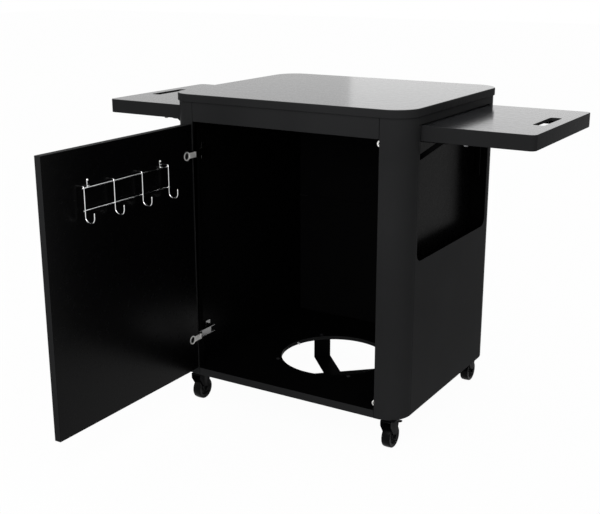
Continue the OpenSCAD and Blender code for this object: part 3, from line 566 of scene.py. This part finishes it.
# Each finish: its name, group, colour, roughness from and to, bump depth and the shader's own values
FINISHES = {
    "black_paint": ("Satin black paint", "paint", "body_paint", 0.3, 0.34, 6e-6, {LEVEL: 0.003}),
    # The next six finishes carry painted shade: darker colours, all over or on their inward faces, for the
    # shade inside the cabinet, in the pockets and under the shelves
    "bracket_paint": ("Bracket paint", "paint", "inner_paint", 0.3, 0.38, 6e-6, {LEVEL: 0.012}),
    "floor_paint": ("Floor pan paint", "paint", "body_paint", 0.3, 0.34, 6e-6, {LEVEL: 0.007}),
    "inner_paint": ("Inner black paint", "paint", "inner_paint", 0.26, 0.3, 6e-6, {LEVEL: 0.015}),
    "door_sheet_paint": ("Inner door paint", "paint", "door_inside", 0.24, 0.28, 6e-6, {LEVEL: 0.06}),
    "back_paint": ("Back panel paint", "paint", "back_inside", 0.3, 0.34, 6e-6, {LEVEL: 0.007}),
    "left_post_paint": ("Left post paint", "paint", "body_paint", 0.3, 0.34, 6e-6, {LEVEL: 0.003}),
    "worktop_paint": ("Lacquered worktop paint", "paint", "body_paint", 0.26, 0.29, 4e-6, LACQUER),
    "nickel_plate": ("Nickel plate", "plate", "nickel", 0.34, 0.46, 4e-6, {"Metallic": 0.7}),
    # A dark copy of the nickel plate: painted shade
    "shaded_nickel": ("Shaded nickel plate", "plate", "shaded_nickel", 0.14, 0.24, 4e-6, {"Metallic": 1.0}),
    "chrome_wire": ("Chrome wire", "plate", "chrome", 0.06, 0.12, 1e-6, {"Metallic": 1.0}),
    "zinc_plate": ("Zinc plate", "plate", "zinc", 0.3, 0.45, 6e-6, {"Metallic": 1.0}),
    "screw_zinc": ("Bright zinc plate", "plate", "bright_zinc", 0.2, 0.34, 4e-6, {"Metallic": 0.4}),
    "handle_steel": ("Brushed handle steel", "plate", "handle_steel", 0.2, 0.34, 6e-6, {"Metallic": 1.0}),
    "caster_black": ("Caster coating", "paint", "caster_coat", 0.28, 0.38, 8e-6, {LEVEL: 0.015}),
    "tyre_rubber": ("Tyre rubber", "moulded", "rubber", 0.24, 0.32, 2e-5, {LEVEL: 0.05}),
    "hub_plastic": ("Hub plastic", "moulded", "hub", 0.4, 0.65, 1e-5, {LEVEL: 0.1}),
}

# Finishes with another colour on the faces that look along an axis: the axis and that colour. For the floor
# pan, the back panels and the left post the two colours split painted shade on the inner faces from the
# body paint; the worktop's faces that look up take the lacquer's colour.
SECOND_COLOURS = {
    "floor_paint": ("Z", "inner_paint"),
    "back_paint": ("Y", "body_paint"),
    "left_post_paint": ("X", "inner_paint"),
    "worktop_paint": ("Z", "worktop_paint"),
}

# The material of each finish, filled in by build_materials
MATERIALS = {}


def build_materials(colours):
    """Makes the material of every finish, with its dust, second colour and sheen where it has one. Some
    second colours are painted shade.
    """
    groups = {"paint": powder_coat_group(), "plate": plated_group(), "moulded": moulded_group()}
    rgb = {name: (*getattr(colours, name), 1.0) for name in colours.__annotations__}
    for finish, (name, group, colour, low, high, bump_depth, shader) in FINISHES.items():
        values = {"Colour": rgb[colour], "Roughness low": low, "Roughness high": high}
        if group == "moulded":
            values["Dust colour"] = rgb[colour + "_dust"]
        MATERIALS[finish] = finish_material(name, groups[group], values, bump_depth, shader)
    for finish, (axis, colour) in SECOND_COLOURS.items():
        facing_colour(MATERIALS[finish], axis, rgb[colour])
    lacquer_sheen(MATERIALS["worktop_paint"])


# Mesh parts


def grid_faces(rows, columns, close_rows=False, close_columns=False):
    """Quads between the points of a grid whose point (i, j) has the number i * columns + j."""
    i = np.arange(rows if close_rows else rows - 1)[:, None]
    j = np.arange(columns if close_columns else columns - 1)[None, :]
    i2, j2 = (i + 1) % rows, (j + 1) % columns
    corners = (i * columns + j, i * columns + j2, i2 * columns + j2, i2 * columns + j)
    return np.stack(np.broadcast_arrays(*corners), -1).reshape(-1, 4)


def add_piece(name, points, faces, finish, body, stands_for, caps=(), sharp=PIECE_SHARP):
    """Makes a mesh object of quads and closing faces, gives it its finish and lets it ride on its body."""
    mesh = bpy.data.meshes.new(name)
    points = np.asarray(points, float).reshape(-1, 3)
    mesh.from_pydata(points.tolist(), [], [list(f) for f in faces] + [list(c) for c in caps])
    mesh.validate()
    piece = bpy.data.objects.new(name, mesh)
    bpy.context.scene.collection.objects.link(piece)
    bm = bmesh.new()
    bm.from_mesh(mesh)
    bmesh.ops.remove_doubles(bm, verts=bm.verts, dist=1e-7)
    bmesh.ops.recalc_face_normals(bm, faces=bm.faces)
    bm.to_mesh(mesh)
    bm.free()
    mesh.shade_smooth()
    mesh.set_sharp_from_angle(angle=sharp)
    dress(piece, finish, body, stands_for)
    return piece


def dress(piece, finish, body, stands_for):
    """Gives a piece its finish and its body, and hides the CAD nodes that it stands for."""
    piece.data.materials.clear()
    piece.data.materials.append(MATERIALS[finish])
    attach(piece, body)
    if stands_for:
        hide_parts(*stands_for)


def body_of_node(node):
    """The body that a CAD node rides on."""
    return NODES[node]["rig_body"]


def paint_node(node, finish):
    """Gives a CAD node that stays as it is its finish."""
    mesh = NODES[node].data
    mesh.materials.clear()
    mesh.materials.append(MATERIALS[finish])


def smooth_regions(bm, limit):
    """Numbers the faces so that faces which meet below the limit angle share a number."""
    region = {}
    for first in bm.faces:
        if first.index in region:
            continue
        region[first.index] = first.index
        stack = [first]
        while stack:
            for edge in stack.pop().edges:
                if len(edge.link_faces) != 2 or edge.calc_face_angle() > limit:
                    continue
                for face in edge.link_faces:
                    if face.index not in region:
                        region[face.index] = first.index
                        stack.append(face)
    return region


def region_widths(bm, region):
    """Mean width of each region: twice its area over the length of its border."""
    area, border = {}, {}
    for face in bm.faces:
        area[region[face.index]] = area.get(region[face.index], 0.0) + face.calc_area()
    for edge in bm.edges:
        sides = {region[face.index] for face in edge.link_faces}
        for side in sides if len(sides) > 1 else ():
            border[side] = border.get(side, 0.0) + edge.calc_length()
    return {key: 2 * area[key] / max(border.get(key, 0.0), 1e-6) for key in area}


def formed_copy(node, finish, cut, fold=0.0, sheet=SHEET, steps=2):
    """A copy of a CAD node with its points merged, its flat faces joined and its edges rounded.

    A sharp edge between two broad regions is a fold of the sheet. It gets the fold's radius,
    less the sheet's thickness on its hollow side. Every other sharp edge gets the cut's radius.
    Without a fold all sharp edges get the cut's radius.
    """
    mesh = bpy.data.meshes.new(node + "_formed")
    bm = bmesh.new()
    bm.from_mesh(NODES[node].data)
    bmesh.ops.remove_doubles(bm, verts=bm.verts, dist=MERGE_DISTANCE)
    bmesh.ops.dissolve_limit(
        bm, angle_limit=FLAT_ANGLE, verts=bm.verts, edges=bm.edges, delimit={"NORMAL"}
    )
    bm.faces.index_update()
    widest = max(cut, fold)
    region = smooth_regions(bm, SHARP_ANGLE)
    broad = {key for key, width in region_widths(bm, region).items() if width > 2 * sheet}
    weight = bm.edges.layers.float.new("bevel_weight_edge")
    for edge in bm.edges:
        if len(edge.link_faces) != 2 or edge.calc_face_angle() < SHARP_ANGLE:
            continue
        radius = cut
        if fold and all(region[face.index] in broad for face in edge.link_faces):
            radius = fold if edge.is_convex else max(fold - sheet, cut)
        edge[weight] = radius / widest
    bm.to_mesh(mesh)
    bm.free()
    piece = bpy.data.objects.new(node + "_formed", mesh)
    bpy.context.scene.collection.objects.link(piece)
    mesh.shade_smooth()
    mesh.set_sharp_from_angle(angle=SHARP_ANGLE)
    bevel = piece.modifiers.new("Rounded edges", "BEVEL")
    bevel.width = widest
    bevel.segments = steps
    bevel.limit_method = "WEIGHT"
    bevel.use_clamp_overlap = not fold
    bevel.harden_normals = True
    dress(piece, finish, body_of_node(node), (node,))


def outline(width, depth, radius, inset, steps):
    """Closed outlines of a rectangle with four round corners, one drawn in by each inset.

    Corner k holds steps points: its centre, plus the radius less the inset times
    (cos a, sin a), where a runs over the quarter turn from k * 90 degrees. The corners follow
    each other round.
    """
    inset = np.asarray(inset, float)[:, None]
    a = np.linspace(0, np.pi / 2, steps)
    turn = (np.arange(4)[:, None] * np.pi / 2 + a).reshape(-1)
    signs = np.array([[1, 1], [-1, 1], [-1, -1], [1, -1]], float)
    sx, sy = np.repeat(signs[:, 0], steps), np.repeat(signs[:, 1], steps)
    r = np.maximum(radius - inset, LEAST_RADIUS)
    x = sx * (width / 2 - inset - r) + r * np.cos(turn)
    y = sy * (depth / 2 - inset - r) + r * np.sin(turn)
    return np.stack([x, y], -1)


def bend(centre, radius, start, stop, steps):
    """Points of an arc in the profile plane: centre plus radius times (cos a, sin a)."""
    a = np.radians(np.linspace(start, stop, steps))
    return np.stack([centre[0] + radius * np.cos(a), centre[1] + radius * np.sin(a)], -1)


def turned(profile, centre, steps):
    """A lathe-turned surface: each profile point (r, h) goes round an axis along X.

    Point = centre + (h, -r * cos a, -r * sin a), where a runs over the full turn.
    """
    a = np.linspace(0, 2 * np.pi, steps, endpoint=False)
    r, h = profile[:, :1], profile[:, 1:]
    grid = np.stack(np.broadcast_arrays(h, -r * np.cos(a), -r * np.sin(a)), -1)
    return np.asarray(centre, float) + grid


def tube(path, radius, across, sides, round_ends=True):
    """A bar carried along a flat path: path point + radius * (cos a * n + sin a * across).

    n is the path's direction crossed with across. At round ends the radius follows
    a quarter circle and the points step out by the rest of it.
    """
    path = np.asarray(path, float)
    across = np.asarray(across, float)
    along = np.gradient(path, axis=0)
    along /= np.linalg.norm(along, axis=1)[:, None]
    radii = np.full(len(path), radius)
    if round_ends:
        rings, last_angle = 4, 0.12
        q = np.linspace(np.pi / 2, last_angle, rings + 1)[1:]
        out, small = radius * np.cos(q), radius * np.sin(q)
        head = path[0] - along[0] * out[::-1, None]
        tail = path[-1] + along[-1] * out[:, None]
        path = np.concatenate([head, path, tail])
        along = np.concatenate([along[:1].repeat(rings, 0), along, along[-1:].repeat(rings, 0)])
        radii = np.concatenate([small[::-1], radii, small])
    n = np.cross(along, across)
    a = np.linspace(0, 2 * np.pi, sides, endpoint=False)[None, :, None]
    ring = np.cos(a) * n[:, None, :] + np.sin(a) * across
    return path[:, None, :] + radii[:, None, None] * ring


def join_grids(grids):
    """Points, quads and end caps of several grids that are closed round their columns."""
    points, faces, caps, first = [], [], [], 0
    for g in grids:
        rows, columns = g.shape[:2]
        points.append(g.reshape(-1, 3))
        faces.append(grid_faces(rows, columns, close_columns=True) + first)
        caps.append(range(first, first + columns))
        caps.append(range(first + (rows - 1) * columns, first + rows * columns))
        first += rows * columns
    return np.concatenate(points), np.concatenate(faces), caps


# Pieces


def worktop():
    """Worktop: its rounded outline is drawn in along a profile.

    The profile is a quarter round at the band's lower edge, the straight band, and a quarter
    round of the fold's radius up to the flat top. Each round has a narrow plain strip beside
    it, which keeps the shading of the round off the flat. The sheet's thickness goes inwards.
    """
    low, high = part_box("top_plate")
    width, depth = high.x - low.x, high.y - low.y
    r = bpy.context.scene.cart_sizes.worktop_fold
    corner, hem, strip, last_ring = 0.071, 0.0013, 0.002, 0.06
    profile = np.concatenate(
        [
            bend((hem, low.z + hem), hem, 270, 180, 6),
            [[0.0, low.z + hem + strip], [0.0, high.z - r - strip]],
            bend((r, high.z - r), r, 180, 90, 8),
            [[r + 2 * strip, high.z], [last_ring, high.z]],
        ]
    )
    rings = outline(width, depth, corner, profile[:, 0], 20)
    z = np.broadcast_to(profile[:, 1][:, None, None], (*rings.shape[:2], 1))
    points = np.concatenate([rings, z], -1)
    rows, columns = rings.shape[:2]
    faces = grid_faces(rows, columns, close_columns=True)
    top = [range((rows - 1) * columns, rows * columns)]
    piece = add_piece("worktop", points, faces, "worktop_paint", "cabinet", ("top_plate",), top)
    wall = piece.modifiers.new("Sheet", "SOLIDIFY")
    wall.thickness, wall.offset, wall.use_even_offset = SHEET, -1.0, True


class CART_OT_worktop(bpy.types.Operator):
    """Builds the pressed worktop with its folded band"""

    bl_idname = "cart.worktop"
    bl_label = "Worktop"

    def execute(self, context):
        worktop()
        return {"FINISHED"}


class CART_OT_cabinet(bpy.types.Operator):
    """Builds the rails, posts, panels, floor pan, inner walls and pocket liners of the cabinet"""

    bl_idname = "cart.cabinet"
    bl_label = "Cabinet"

    def execute(self, context):
        sizes = context.scene.cart_sizes
        edge, fold = sizes.cut_edge, sizes.sheet_fold
        for node in ("front_rail", "rear_rail", "side_rails", "post_front_right"):
            formed_copy(node, "black_paint", edge, fold)
        # The left post's faces that look along X, into the door opening, take the inner colour as painted
        # shade
        formed_copy("post_front_left", "left_post_paint", edge, fold)
        for node in ("rear_posts", "side_panel_right", "side_panel_left"):
            formed_copy(node, "black_paint", edge)
        # The floor pan's top takes the inner colour as painted shade; its lip keeps the body paint
        formed_copy("base_pan", "floor_paint", edge, fold)
        # The inner walls and the pocket liners take the inner colour, darkened as painted shade
        formed_copy("inner_walls", "inner_paint", edge)
        # The back panels keep the body paint on faces that look back and painted shade on the rest
        for node in ("back_panel_upper", "back_panel_lower"):
            formed_copy(node, "back_paint", edge)
        formed_copy("pocket_liners", "inner_paint", edge, INNER_FOLD, INNER_SHEET)
        return {"FINISHED"}


class CART_OT_bottle_support(bpy.types.Operator):
    """Builds the crossed bottle tray, its bolts, and the lock screw with its nut"""

    bl_idname = "cart.bottle_support"
    bl_label = "Bottle support"

    def execute(self, context):
        sizes = context.scene.cart_sizes
        # The tray's paint is the inner colour, darkened as painted shade
        formed_copy("tank_tray", "bracket_paint", sizes.cut_edge, TRAY_FOLD, TRAY_SHEET)
        formed_copy("tray_bolts", "black_paint", sizes.machined_edge)
        for node in ("lock_screw_nut", "lock_screw"):
            formed_copy(node, "screw_zinc", sizes.machined_edge)
        return {"FINISHED"}


def door_handle():
    """The handle: a round bar carried straight up, and a short post near each end of it."""
    low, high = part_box("door_handle")
    r = bpy.context.scene.cart_sizes.handle_radius
    post_r, post_in = 0.8 * r, 3 * r
    x, y = low.x + r, (low.y + high.y) / 2
    grids = [tube([(x, y, low.z + r), (x, y, high.z - r)], r, (1, 0, 0), 32)]
    for z in (low.z + post_in, high.z - post_in):
        grids.append(tube([(x, y, z), (high.x, y, z)], post_r, (0, 1, 0), 24, False))
    points, faces, caps = join_grids(grids)
    add_piece("door_handle_bar", points, faces, "handle_steel", "door", ("door_handle",), caps)


class CART_OT_door(bpy.types.Operator):
    """Builds the door's skins, its handle and the catches"""

    bl_idname = "cart.door"
    bl_label = "Door"

    def execute(self, context):
        edge = context.scene.cart_sizes.cut_edge
        formed_copy("door_outer_skin", "black_paint", edge, INNER_FOLD, INNER_SHEET, steps=3)
        # The door's inner sheet is darkened as painted shade
        formed_copy("door_inner_skin", "door_sheet_paint", edge)
        paint_node("door_stiffener", "zinc_plate")
        door_handle()
        formed_copy("door_catches", "nickel_plate", CATCH_EDGE, steps=3)
        return {"FINISHED"}


def cup_shade_disc(place):
    """A dark disc in a hinge cup, painted shade for the cup's hollow: a disc turned about X, with a rounded
    edge.
    """
    r, depth, middle = 0.0092, 0.006, 0.0001
    edge, bevel = 0.001, 0.0004
    profile = np.concatenate(
        [
            [[middle, -depth], [r - bevel, -depth], [r, -depth + bevel]],
            bend((r - edge, -edge), edge, 0, 90, 5),
            [[r - 2 * edge, 0.0], [middle, 0.0]],
        ]
    )
    return turned(profile, place, 32)


def cup_dampers():
    """One dark disc of painted shade in each of the two cups, a little below the face of the door's inner
    sheet.
    """
    rim = bpy.context.scene.cart_sizes.cup_rim_radius
    low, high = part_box("hinge_cups")
    sunk = 0.0004
    x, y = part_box("door_inner_skin")[1].x - sunk, low.y + rim
    grids = [cup_shade_disc((x, y, z)) for z in (low.z + rim, high.z - rim)]
    points, faces, caps = join_grids(grids)
    add_piece("cup_dampers", points, faces, "caster_black", "door", (), caps)


class CART_OT_hinges(bpy.types.Operator):
    """Builds the two concealed cup hinges and the dark discs of painted shade in their cups"""

    bl_idname = "cart.hinges"
    bl_label = "Hinges"

    def execute(self, context):
        edge = context.scene.cart_sizes.machined_edge
        # The hinge plates and arms take the dark copy of the nickel as painted shade
        for node in ("hinge_plates", "hinge_arms"):
            formed_copy(node, "shaded_nickel", edge)
        for node in ("hinge_pins", "hinge_cups"):
            formed_copy(node, "nickel_plate", edge)
        cup_dampers()
        return {"FINISHED"}


def wire_hook(place, out, arc_r, arc_z, bend_r, wire):
    """One hook: its centre line, seen along the door, carried by tube.

    From the door's face the line goes out, turns down a quarter of radius bend_r, goes
    down the upright, turns half round by radius arc_r and rises to the tip. A short step of
    the line stands between each straight and its bend.
    """
    x0, y, top = place
    x1, x2 = x0 + out, x0 + out + 2 * arc_r
    step, tip = 0.002, 0.01
    line = np.concatenate(
        [
            [[x0 + wire, top], [x1 - bend_r - step / 2, top]],
            bend((x1 - bend_r, top - bend_r), bend_r, 90, 0, 8),
            [[x1, top - bend_r - step], [x1, arc_z + step]],
            bend((x1 + arc_r, arc_z), arc_r, 180, 360, 28),
            [[x2, arc_z + step], [x2, arc_z + tip]],
        ]
    )
    return tube(np.insert(line, 1, y, axis=1), wire, (0.0, 1.0, 0.0), 20)


def tab(face, y, z, width, height):
    """A fixing tab on the door's face: an outline with round ends, drawn in over its front edge."""
    thickness, edge, half_edge = 0.0016, 0.0005, 0.0002
    inset = np.array([0.0, 0.0, half_edge, edge])
    out = np.array([0.0, thickness - edge, thickness - half_edge, thickness])
    ring = outline(width, height, width / 2 - LEAST_RADIUS, inset, 8)
    grid = np.empty((*ring.shape[:2], 3))
    grid[..., 0] = face + out[:, None]
    grid[..., 1] = y + ring[..., 0]
    grid[..., 2] = z + height / 2 + ring[..., 1]
    return grid


def hook_rack():
    """The rack: two straight bars, one bent wire for each hook, and two tabs on short posts.

    The hooks' uprights sink into the bars by the weld. The tabs stand in from the first and the
    last hook by a share of the hooks' pitch.
    """
    sizes = bpy.context.scene.cart_sizes
    low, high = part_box("hook_rack")
    wire, bar_z, face = sizes.rack_wire, sizes.rack_height, low.x
    bar_x = face + sizes.rack_bar_out
    weld = 0.2 * wire
    out = sizes.rack_bar_out + 2 * wire - weld
    arc_r = (high.x - wire - face - out) / 2
    arc_z = low.z + wire + arc_r
    first, last = high.y - wire, low.y + wire
    grids = [
        tube([(bar_x, high.y - wire / 2, z), (bar_x, low.y + wire / 2, z)], wire, (1, 0, 0), 20)
        for z in (bar_z, bar_z - sizes.rack_bar_gap)
    ]
    hook_top = bar_z + 0.005
    for y in np.linspace(first, last, sizes.hook_count):
        grids.append(wire_hook((face, y, hook_top), out, arc_r, arc_z, sizes.hook_bend, wire))
    pitch = (first - last) / (sizes.hook_count - 1)
    first_tab, last_tab, tab_z = 0.16, 0.25, bar_z - 0.003
    for y in (first - first_tab * pitch, last + last_tab * pitch):
        grids.append(tube([(face, y, bar_z), (bar_x, y, bar_z)], wire, (0, 1, 0), 16, False))
        grids.append(tab(face, y, tab_z, sizes.tab_width, sizes.tab_height))
    points, faces, caps = join_grids(grids)
    add_piece("hook_rack_wire", points, faces, "chrome_wire", "door", ("hook_rack",), caps)


class CART_OT_hook_rack(bpy.types.Operator):
    """Builds the chrome hook rack and its screws"""

    bl_idname = "cart.hook_rack"
    bl_label = "Hook rack"

    def execute(self, context):
        hook_rack()
        formed_copy("rack_screws", "nickel_plate", context.scene.cart_sizes.machined_edge)
        return {"FINISHED"}


class CART_OT_shelves(bpy.types.Operator):
    """Builds the two side shelves"""

    bl_idname = "cart.shelves"
    bl_label = "Side shelves"

    def execute(self, context):
        sizes = context.scene.cart_sizes
        for node in ("shelf_pan_right", "shelf_pan_left"):
            formed_copy(node, "worktop_paint", sizes.cut_edge, sizes.sheet_fold, steps=3)
        return {"FINISHED"}


class CART_OT_brackets(bpy.types.Operator):
    """Builds the folding shelf brackets and their release levers"""

    bl_idname = "cart.brackets"
    bl_label = "Shelf brackets"

    def execute(self, context):
        sizes = context.scene.cart_sizes
        # The brackets' paint is the inner colour, darkened as painted shade under the shelves
        for node in ("shelf_arms_right", "shelf_arms_left", "wall_leaves"):
            formed_copy(node, "bracket_paint", sizes.cut_edge)
        struts = ("struts_right", "struts_left")
        for node in ("leaf_screws", "pivot_pins", *struts, "arm_pins_right", "arm_pins_left"):
            formed_copy(node, "bracket_paint", sizes.machined_edge)
        for side in ("right", "left"):
            for end in ("front", "rear"):
                formed_copy(f"lever_{side}_{end}", "zinc_plate", sizes.machined_edge)
        return {"FINISHED"}


def add_ring(name, node, profile, centre, finish, sharp=PIECE_SHARP):
    """A closed profile of (r, x) points turned about X, in place of a CAD node and on its body."""
    points = turned(profile, centre, bpy.context.scene.cart_sizes.round_steps)
    faces = grid_faces(*points.shape[:2], close_rows=True, close_columns=True)
    add_piece(name, points, faces, finish, body_of_node(node), (node,), sharp=sharp)


def tyre(key, centre, radius, half, hub_r):
    """Tyre of one caster, turned about its axle.

    From the hub's radius its profile runs over a bead at each side, a quarter round at each
    shoulder and a tread that falls from its middle by crown * u * u, where u runs from -1 to
    1 across it.
    """
    s, crown = bpy.context.scene.cart_sizes.tyre_shoulder, 0.0006
    u = np.linspace(-1, 1, 9)
    tread = np.stack([radius - crown * u * u, u * (half - s)], -1)
    edge = radius - crown - s
    bead = np.array([[hub_r + 0.0015, half], [hub_r + 0.0006, half - 0.0002], [hub_r, half - 0.001]])
    profile = np.concatenate(
        [
            bead[::-1] * [1, -1],
            bend((edge, -half + s), s, -90, 0, 7)[:-1],
            tread,
            bend((edge, half - s), s, 0, 90, 7)[1:],
            bead,
        ]
    )
    add_ring("wheel_tyre_" + key, "tyre_" + key, profile, centre, "tyre_rubber")


def hub(key, centre, half, hub_r):
    """Hub of one caster, turned about its axle.

    Half of its profile runs inwards over the rim, the web and the boss to the bore, with a
    draft and a round between them. The other half is its mirror image.
    """
    low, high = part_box("hub_" + key)
    bore, boss = 0.0041, 0.008
    rim_in, rim_x = hub_r - 0.003, half - 0.001
    boss_x, web_x = (high.x - low.x) / 2, 0.003
    outer, inner = 0.0006, 0.0004
    side = np.array(
        [
            [hub_r, rim_x - outer],
            [hub_r - outer, rim_x],
            [rim_in + inner, rim_x],
            [rim_in, rim_x - inner],
            [rim_in - 0.0006, web_x + 0.002],
            [rim_in - 0.0024, web_x + 0.0003],
            [rim_in - 0.0035, web_x],
            [boss + 0.003, web_x],
            [boss + 0.0016, web_x + 0.0004],
            [boss + 0.0002, web_x + 0.0018],
            [boss, boss_x - outer],
            [boss - outer, boss_x],
            [bore + inner, boss_x],
            [bore, boss_x - inner],
        ]
    )
    profile = np.concatenate([side, side[::-1] * [1, -1]])
    add_ring("wheel_hub_" + key, "hub_" + key, profile, centre, "hub_plastic", HUB_SHARP)


def wheel(key):
    """Tyre and hub of one caster, which share its middle and the radius at which they meet."""
    low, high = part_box("tyre_" + key)
    hub_low, hub_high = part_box("hub_" + key)
    centre, half = (low + high) / 2, (high.x - low.x) / 2
    hub_r = (hub_high.z - hub_low.z) / 2
    tyre(key, centre, (high.z - low.z) / 2, half, hub_r)
    hub(key, centre, half, hub_r)


class CART_OT_casters(bpy.types.Operator):
    """Builds the four casters with their forks, tyres, hubs and brake pedals"""

    bl_idname = "cart.casters"
    bl_label = "Casters"

    def execute(self, context):
        sizes = context.scene.cart_sizes
        formed_copy("caster_plates", "caster_black", sizes.machined_edge)
        for key in ("fr", "fl", "rr", "rl"):
            formed_copy("fork_" + key, "caster_black", sizes.cut_edge, sizes.sheet_fold, FORK_SHEET)
            wheel(key)
        for key in ("fr", "fl"):
            formed_copy("pedal_" + key, "caster_black", sizes.cut_edge)
        return {"FINISHED"}


# Stage


# Tone and roughness of the floor, the share of plain white shown on it, and the world's strength
FLOOR_TONE = 0.7
FLOOR_ROUGHNESS = 0.9
FLOOR_WHITE = 0.97
WORLD_STRENGTH = 0.85
WHITE = (1, 1, 1, 1)

# Lamps: name, place, aim, size and power
LAMPS = (
    ("key_light", (1.9, -3.2, 3.4), (0.0, 0.0, 0.4), (2.4, 2.4), 45),
    ("fill_light", (-3.2, -1.2, 2.6), (0.0, 0.0, 0.5), (2.4, 2.4), 15),
    ("front_light", (0.3, -1.6, 1.2), (0.35, -0.3, 0.8), (0.7, 0.5), 8),
    ("back_light", (-1.2, 4.5, 1.6), (0.1, 0.0, 0.8), (2.2, 1.6), 5),
)


def light_panel(name, place, aim, size, power):
    """A soft area light at a place, turned to its aim. It isn't seen directly."""
    data = bpy.data.lights.new(name, "AREA")
    data.shape = "RECTANGLE"
    data.size, data.size_y = size
    data.energy = power
    lamp = bpy.data.objects.new(name, data)
    bpy.context.scene.collection.objects.link(lamp)
    lamp.location = place
    away = np.asarray(place, float) - np.asarray(aim, float)
    flat = math.hypot(away[0], away[1])
    lamp.rotation_euler = (math.atan2(flat, away[2]), 0.0, math.atan2(away[0], -away[1]))
    lamp.visible_camera = False


def shown_white(tree, surface, white_node, share):
    """Shows a share of plain white, of strength 1, to camera, glossy and transmission rays."""
    path = tree.nodes.new("ShaderNodeLightPath")
    seen = path.outputs["Is Camera Ray"]
    for label in ("Is Glossy Ray", "Is Transmission Ray"):
        either = tree.nodes.new("ShaderNodeMath")
        either.operation = "MAXIMUM"
        tree.links.new(seen, either.inputs[0])
        tree.links.new(path.outputs[label], either.inputs[1])
        seen = either.outputs[0]
    part = tree.nodes.new("ShaderNodeMath")
    part.operation = "MULTIPLY"
    part.inputs[1].default_value = share
    tree.links.new(seen, part.inputs[0])
    mix = tree.nodes.new("ShaderNodeMixShader")
    white = tree.nodes.new(white_node)
    white.inputs["Color"].default_value = WHITE
    white.inputs["Strength"].default_value = 1.0
    tree.links.new(part.outputs[0], mix.inputs[0])
    tree.links.new(surface, mix.inputs[1])
    tree.links.new(white.outputs[0], mix.inputs[2])
    return mix.outputs[0]


def pale_floor(size):
    """A square floor under the wheels. It is seen as nearly white and keeps the cart's shadow."""
    half = size / 2
    corners = [(-half, -half, 0), (half, -half, 0), (half, half, 0), (-half, half, 0)]
    mesh = bpy.data.meshes.new("floor")
    mesh.from_pydata(corners, [], [(0, 1, 2, 3)])
    floor = bpy.data.objects.new("floor", mesh)
    bpy.context.scene.collection.objects.link(floor)
    material = bpy.data.materials.new("Pale floor")
    material.use_nodes = True
    tree = material.node_tree
    plain = tree.nodes["Principled BSDF"]
    plain.inputs["Base Color"].default_value = (FLOOR_TONE, FLOOR_TONE, FLOOR_TONE, 1)
    plain.inputs["Roughness"].default_value = FLOOR_ROUGHNESS
    shown = shown_white(tree, plain.outputs[0], "ShaderNodeEmission", FLOOR_WHITE)
    tree.links.new(shown, tree.nodes["Material Output"].inputs["Surface"])
    mesh.materials.append(material)


def white_world():
    """Soft light from all round, seen as plain white."""
    world = bpy.data.worlds.new("Studio")
    bpy.context.scene.world = world
    world.use_nodes = True
    tree = world.node_tree
    soft = tree.nodes["Background"]
    soft.inputs["Color"].default_value = WHITE
    soft.inputs["Strength"].default_value = WORLD_STRENGTH
    shown = shown_white(tree, soft.outputs[0], "ShaderNodeBackground", 1.0)
    tree.links.new(shown, tree.nodes["World Output"].inputs["Surface"])


def add_camera(stage):
    """The camera, with the place, turn and lens of the stage's settings."""
    data = bpy.data.cameras.new("camera")
    data.lens = stage.lens
    data.sensor_width = 36.0
    data.clip_start, data.clip_end = 0.05, 100.0
    camera = bpy.data.objects.new("camera", data)
    bpy.context.scene.collection.objects.link(camera)
    camera.location = stage.camera_place
    camera.rotation_euler = stage.camera_turn
    bpy.context.scene.camera = camera


class CART_OT_stage(bpy.types.Operator):
    """Sets up the floor, the soft light, the white background and the camera"""

    bl_idname = "cart.stage"
    bl_label = "Stage"

    def execute(self, context):
        stage = context.scene.cart_stage
        pale_floor(stage.floor_size)
        white_world()
        for name, place, aim, size, power in LAMPS:
            light_panel(name, place, aim, size, power)
        add_camera(stage)
        context.scene.view_settings.view_transform = "Standard"
        return {"FINISHED"}


OPERATORS = (
    CART_OT_worktop,
    CART_OT_cabinet,
    CART_OT_bottle_support,
    CART_OT_door,
    CART_OT_hinges,
    CART_OT_hook_rack,
    CART_OT_shelves,
    CART_OT_brackets,
    CART_OT_casters,
    CART_OT_stage,
)


class CART_PT_panel(bpy.types.Panel):
    """Lists the cart's sizes, colours, stage and pieces in the sidebar"""

    bl_idname = "CART_PT_panel"
    bl_label = "Grill Cart"
    bl_space_type = "VIEW_3D"
    bl_region_type = "UI"
    bl_category = "Grill Cart"

    def draw(self, context):
        layout, scene = self.layout, context.scene
        for group in (scene.cart_sizes, scene.cart_colours, scene.cart_stage):
            for name in group.__annotations__:
                layout.prop(group, name)
        for operator in OPERATORS:
            layout.operator(operator.bl_idname)


CLASSES = (CartSizes, CartColours, CartStage, *OPERATORS, CART_PT_panel)


def register():
    for cls in CLASSES:
        bpy.utils.register_class(cls)
    bpy.types.Scene.cart_sizes = PointerProperty(type=CartSizes)
    bpy.types.Scene.cart_colours = PointerProperty(type=CartColours)
    bpy.types.Scene.cart_stage = PointerProperty(type=CartStage)


def unregister():
    del bpy.types.Scene.cart_sizes
    del bpy.types.Scene.cart_colours
    del bpy.types.Scene.cart_stage
    for cls in reversed(CLASSES):
        bpy.utils.unregister_class(cls)


def main():
    """Registers the classes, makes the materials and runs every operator."""
    register()
    build_materials(bpy.context.scene.cart_colours)
    for operator in OPERATORS:
        group, name = operator.bl_idname.split(".")
        getattr(getattr(bpy.ops, group), name)()


if __name__ == "__main__":
    main()
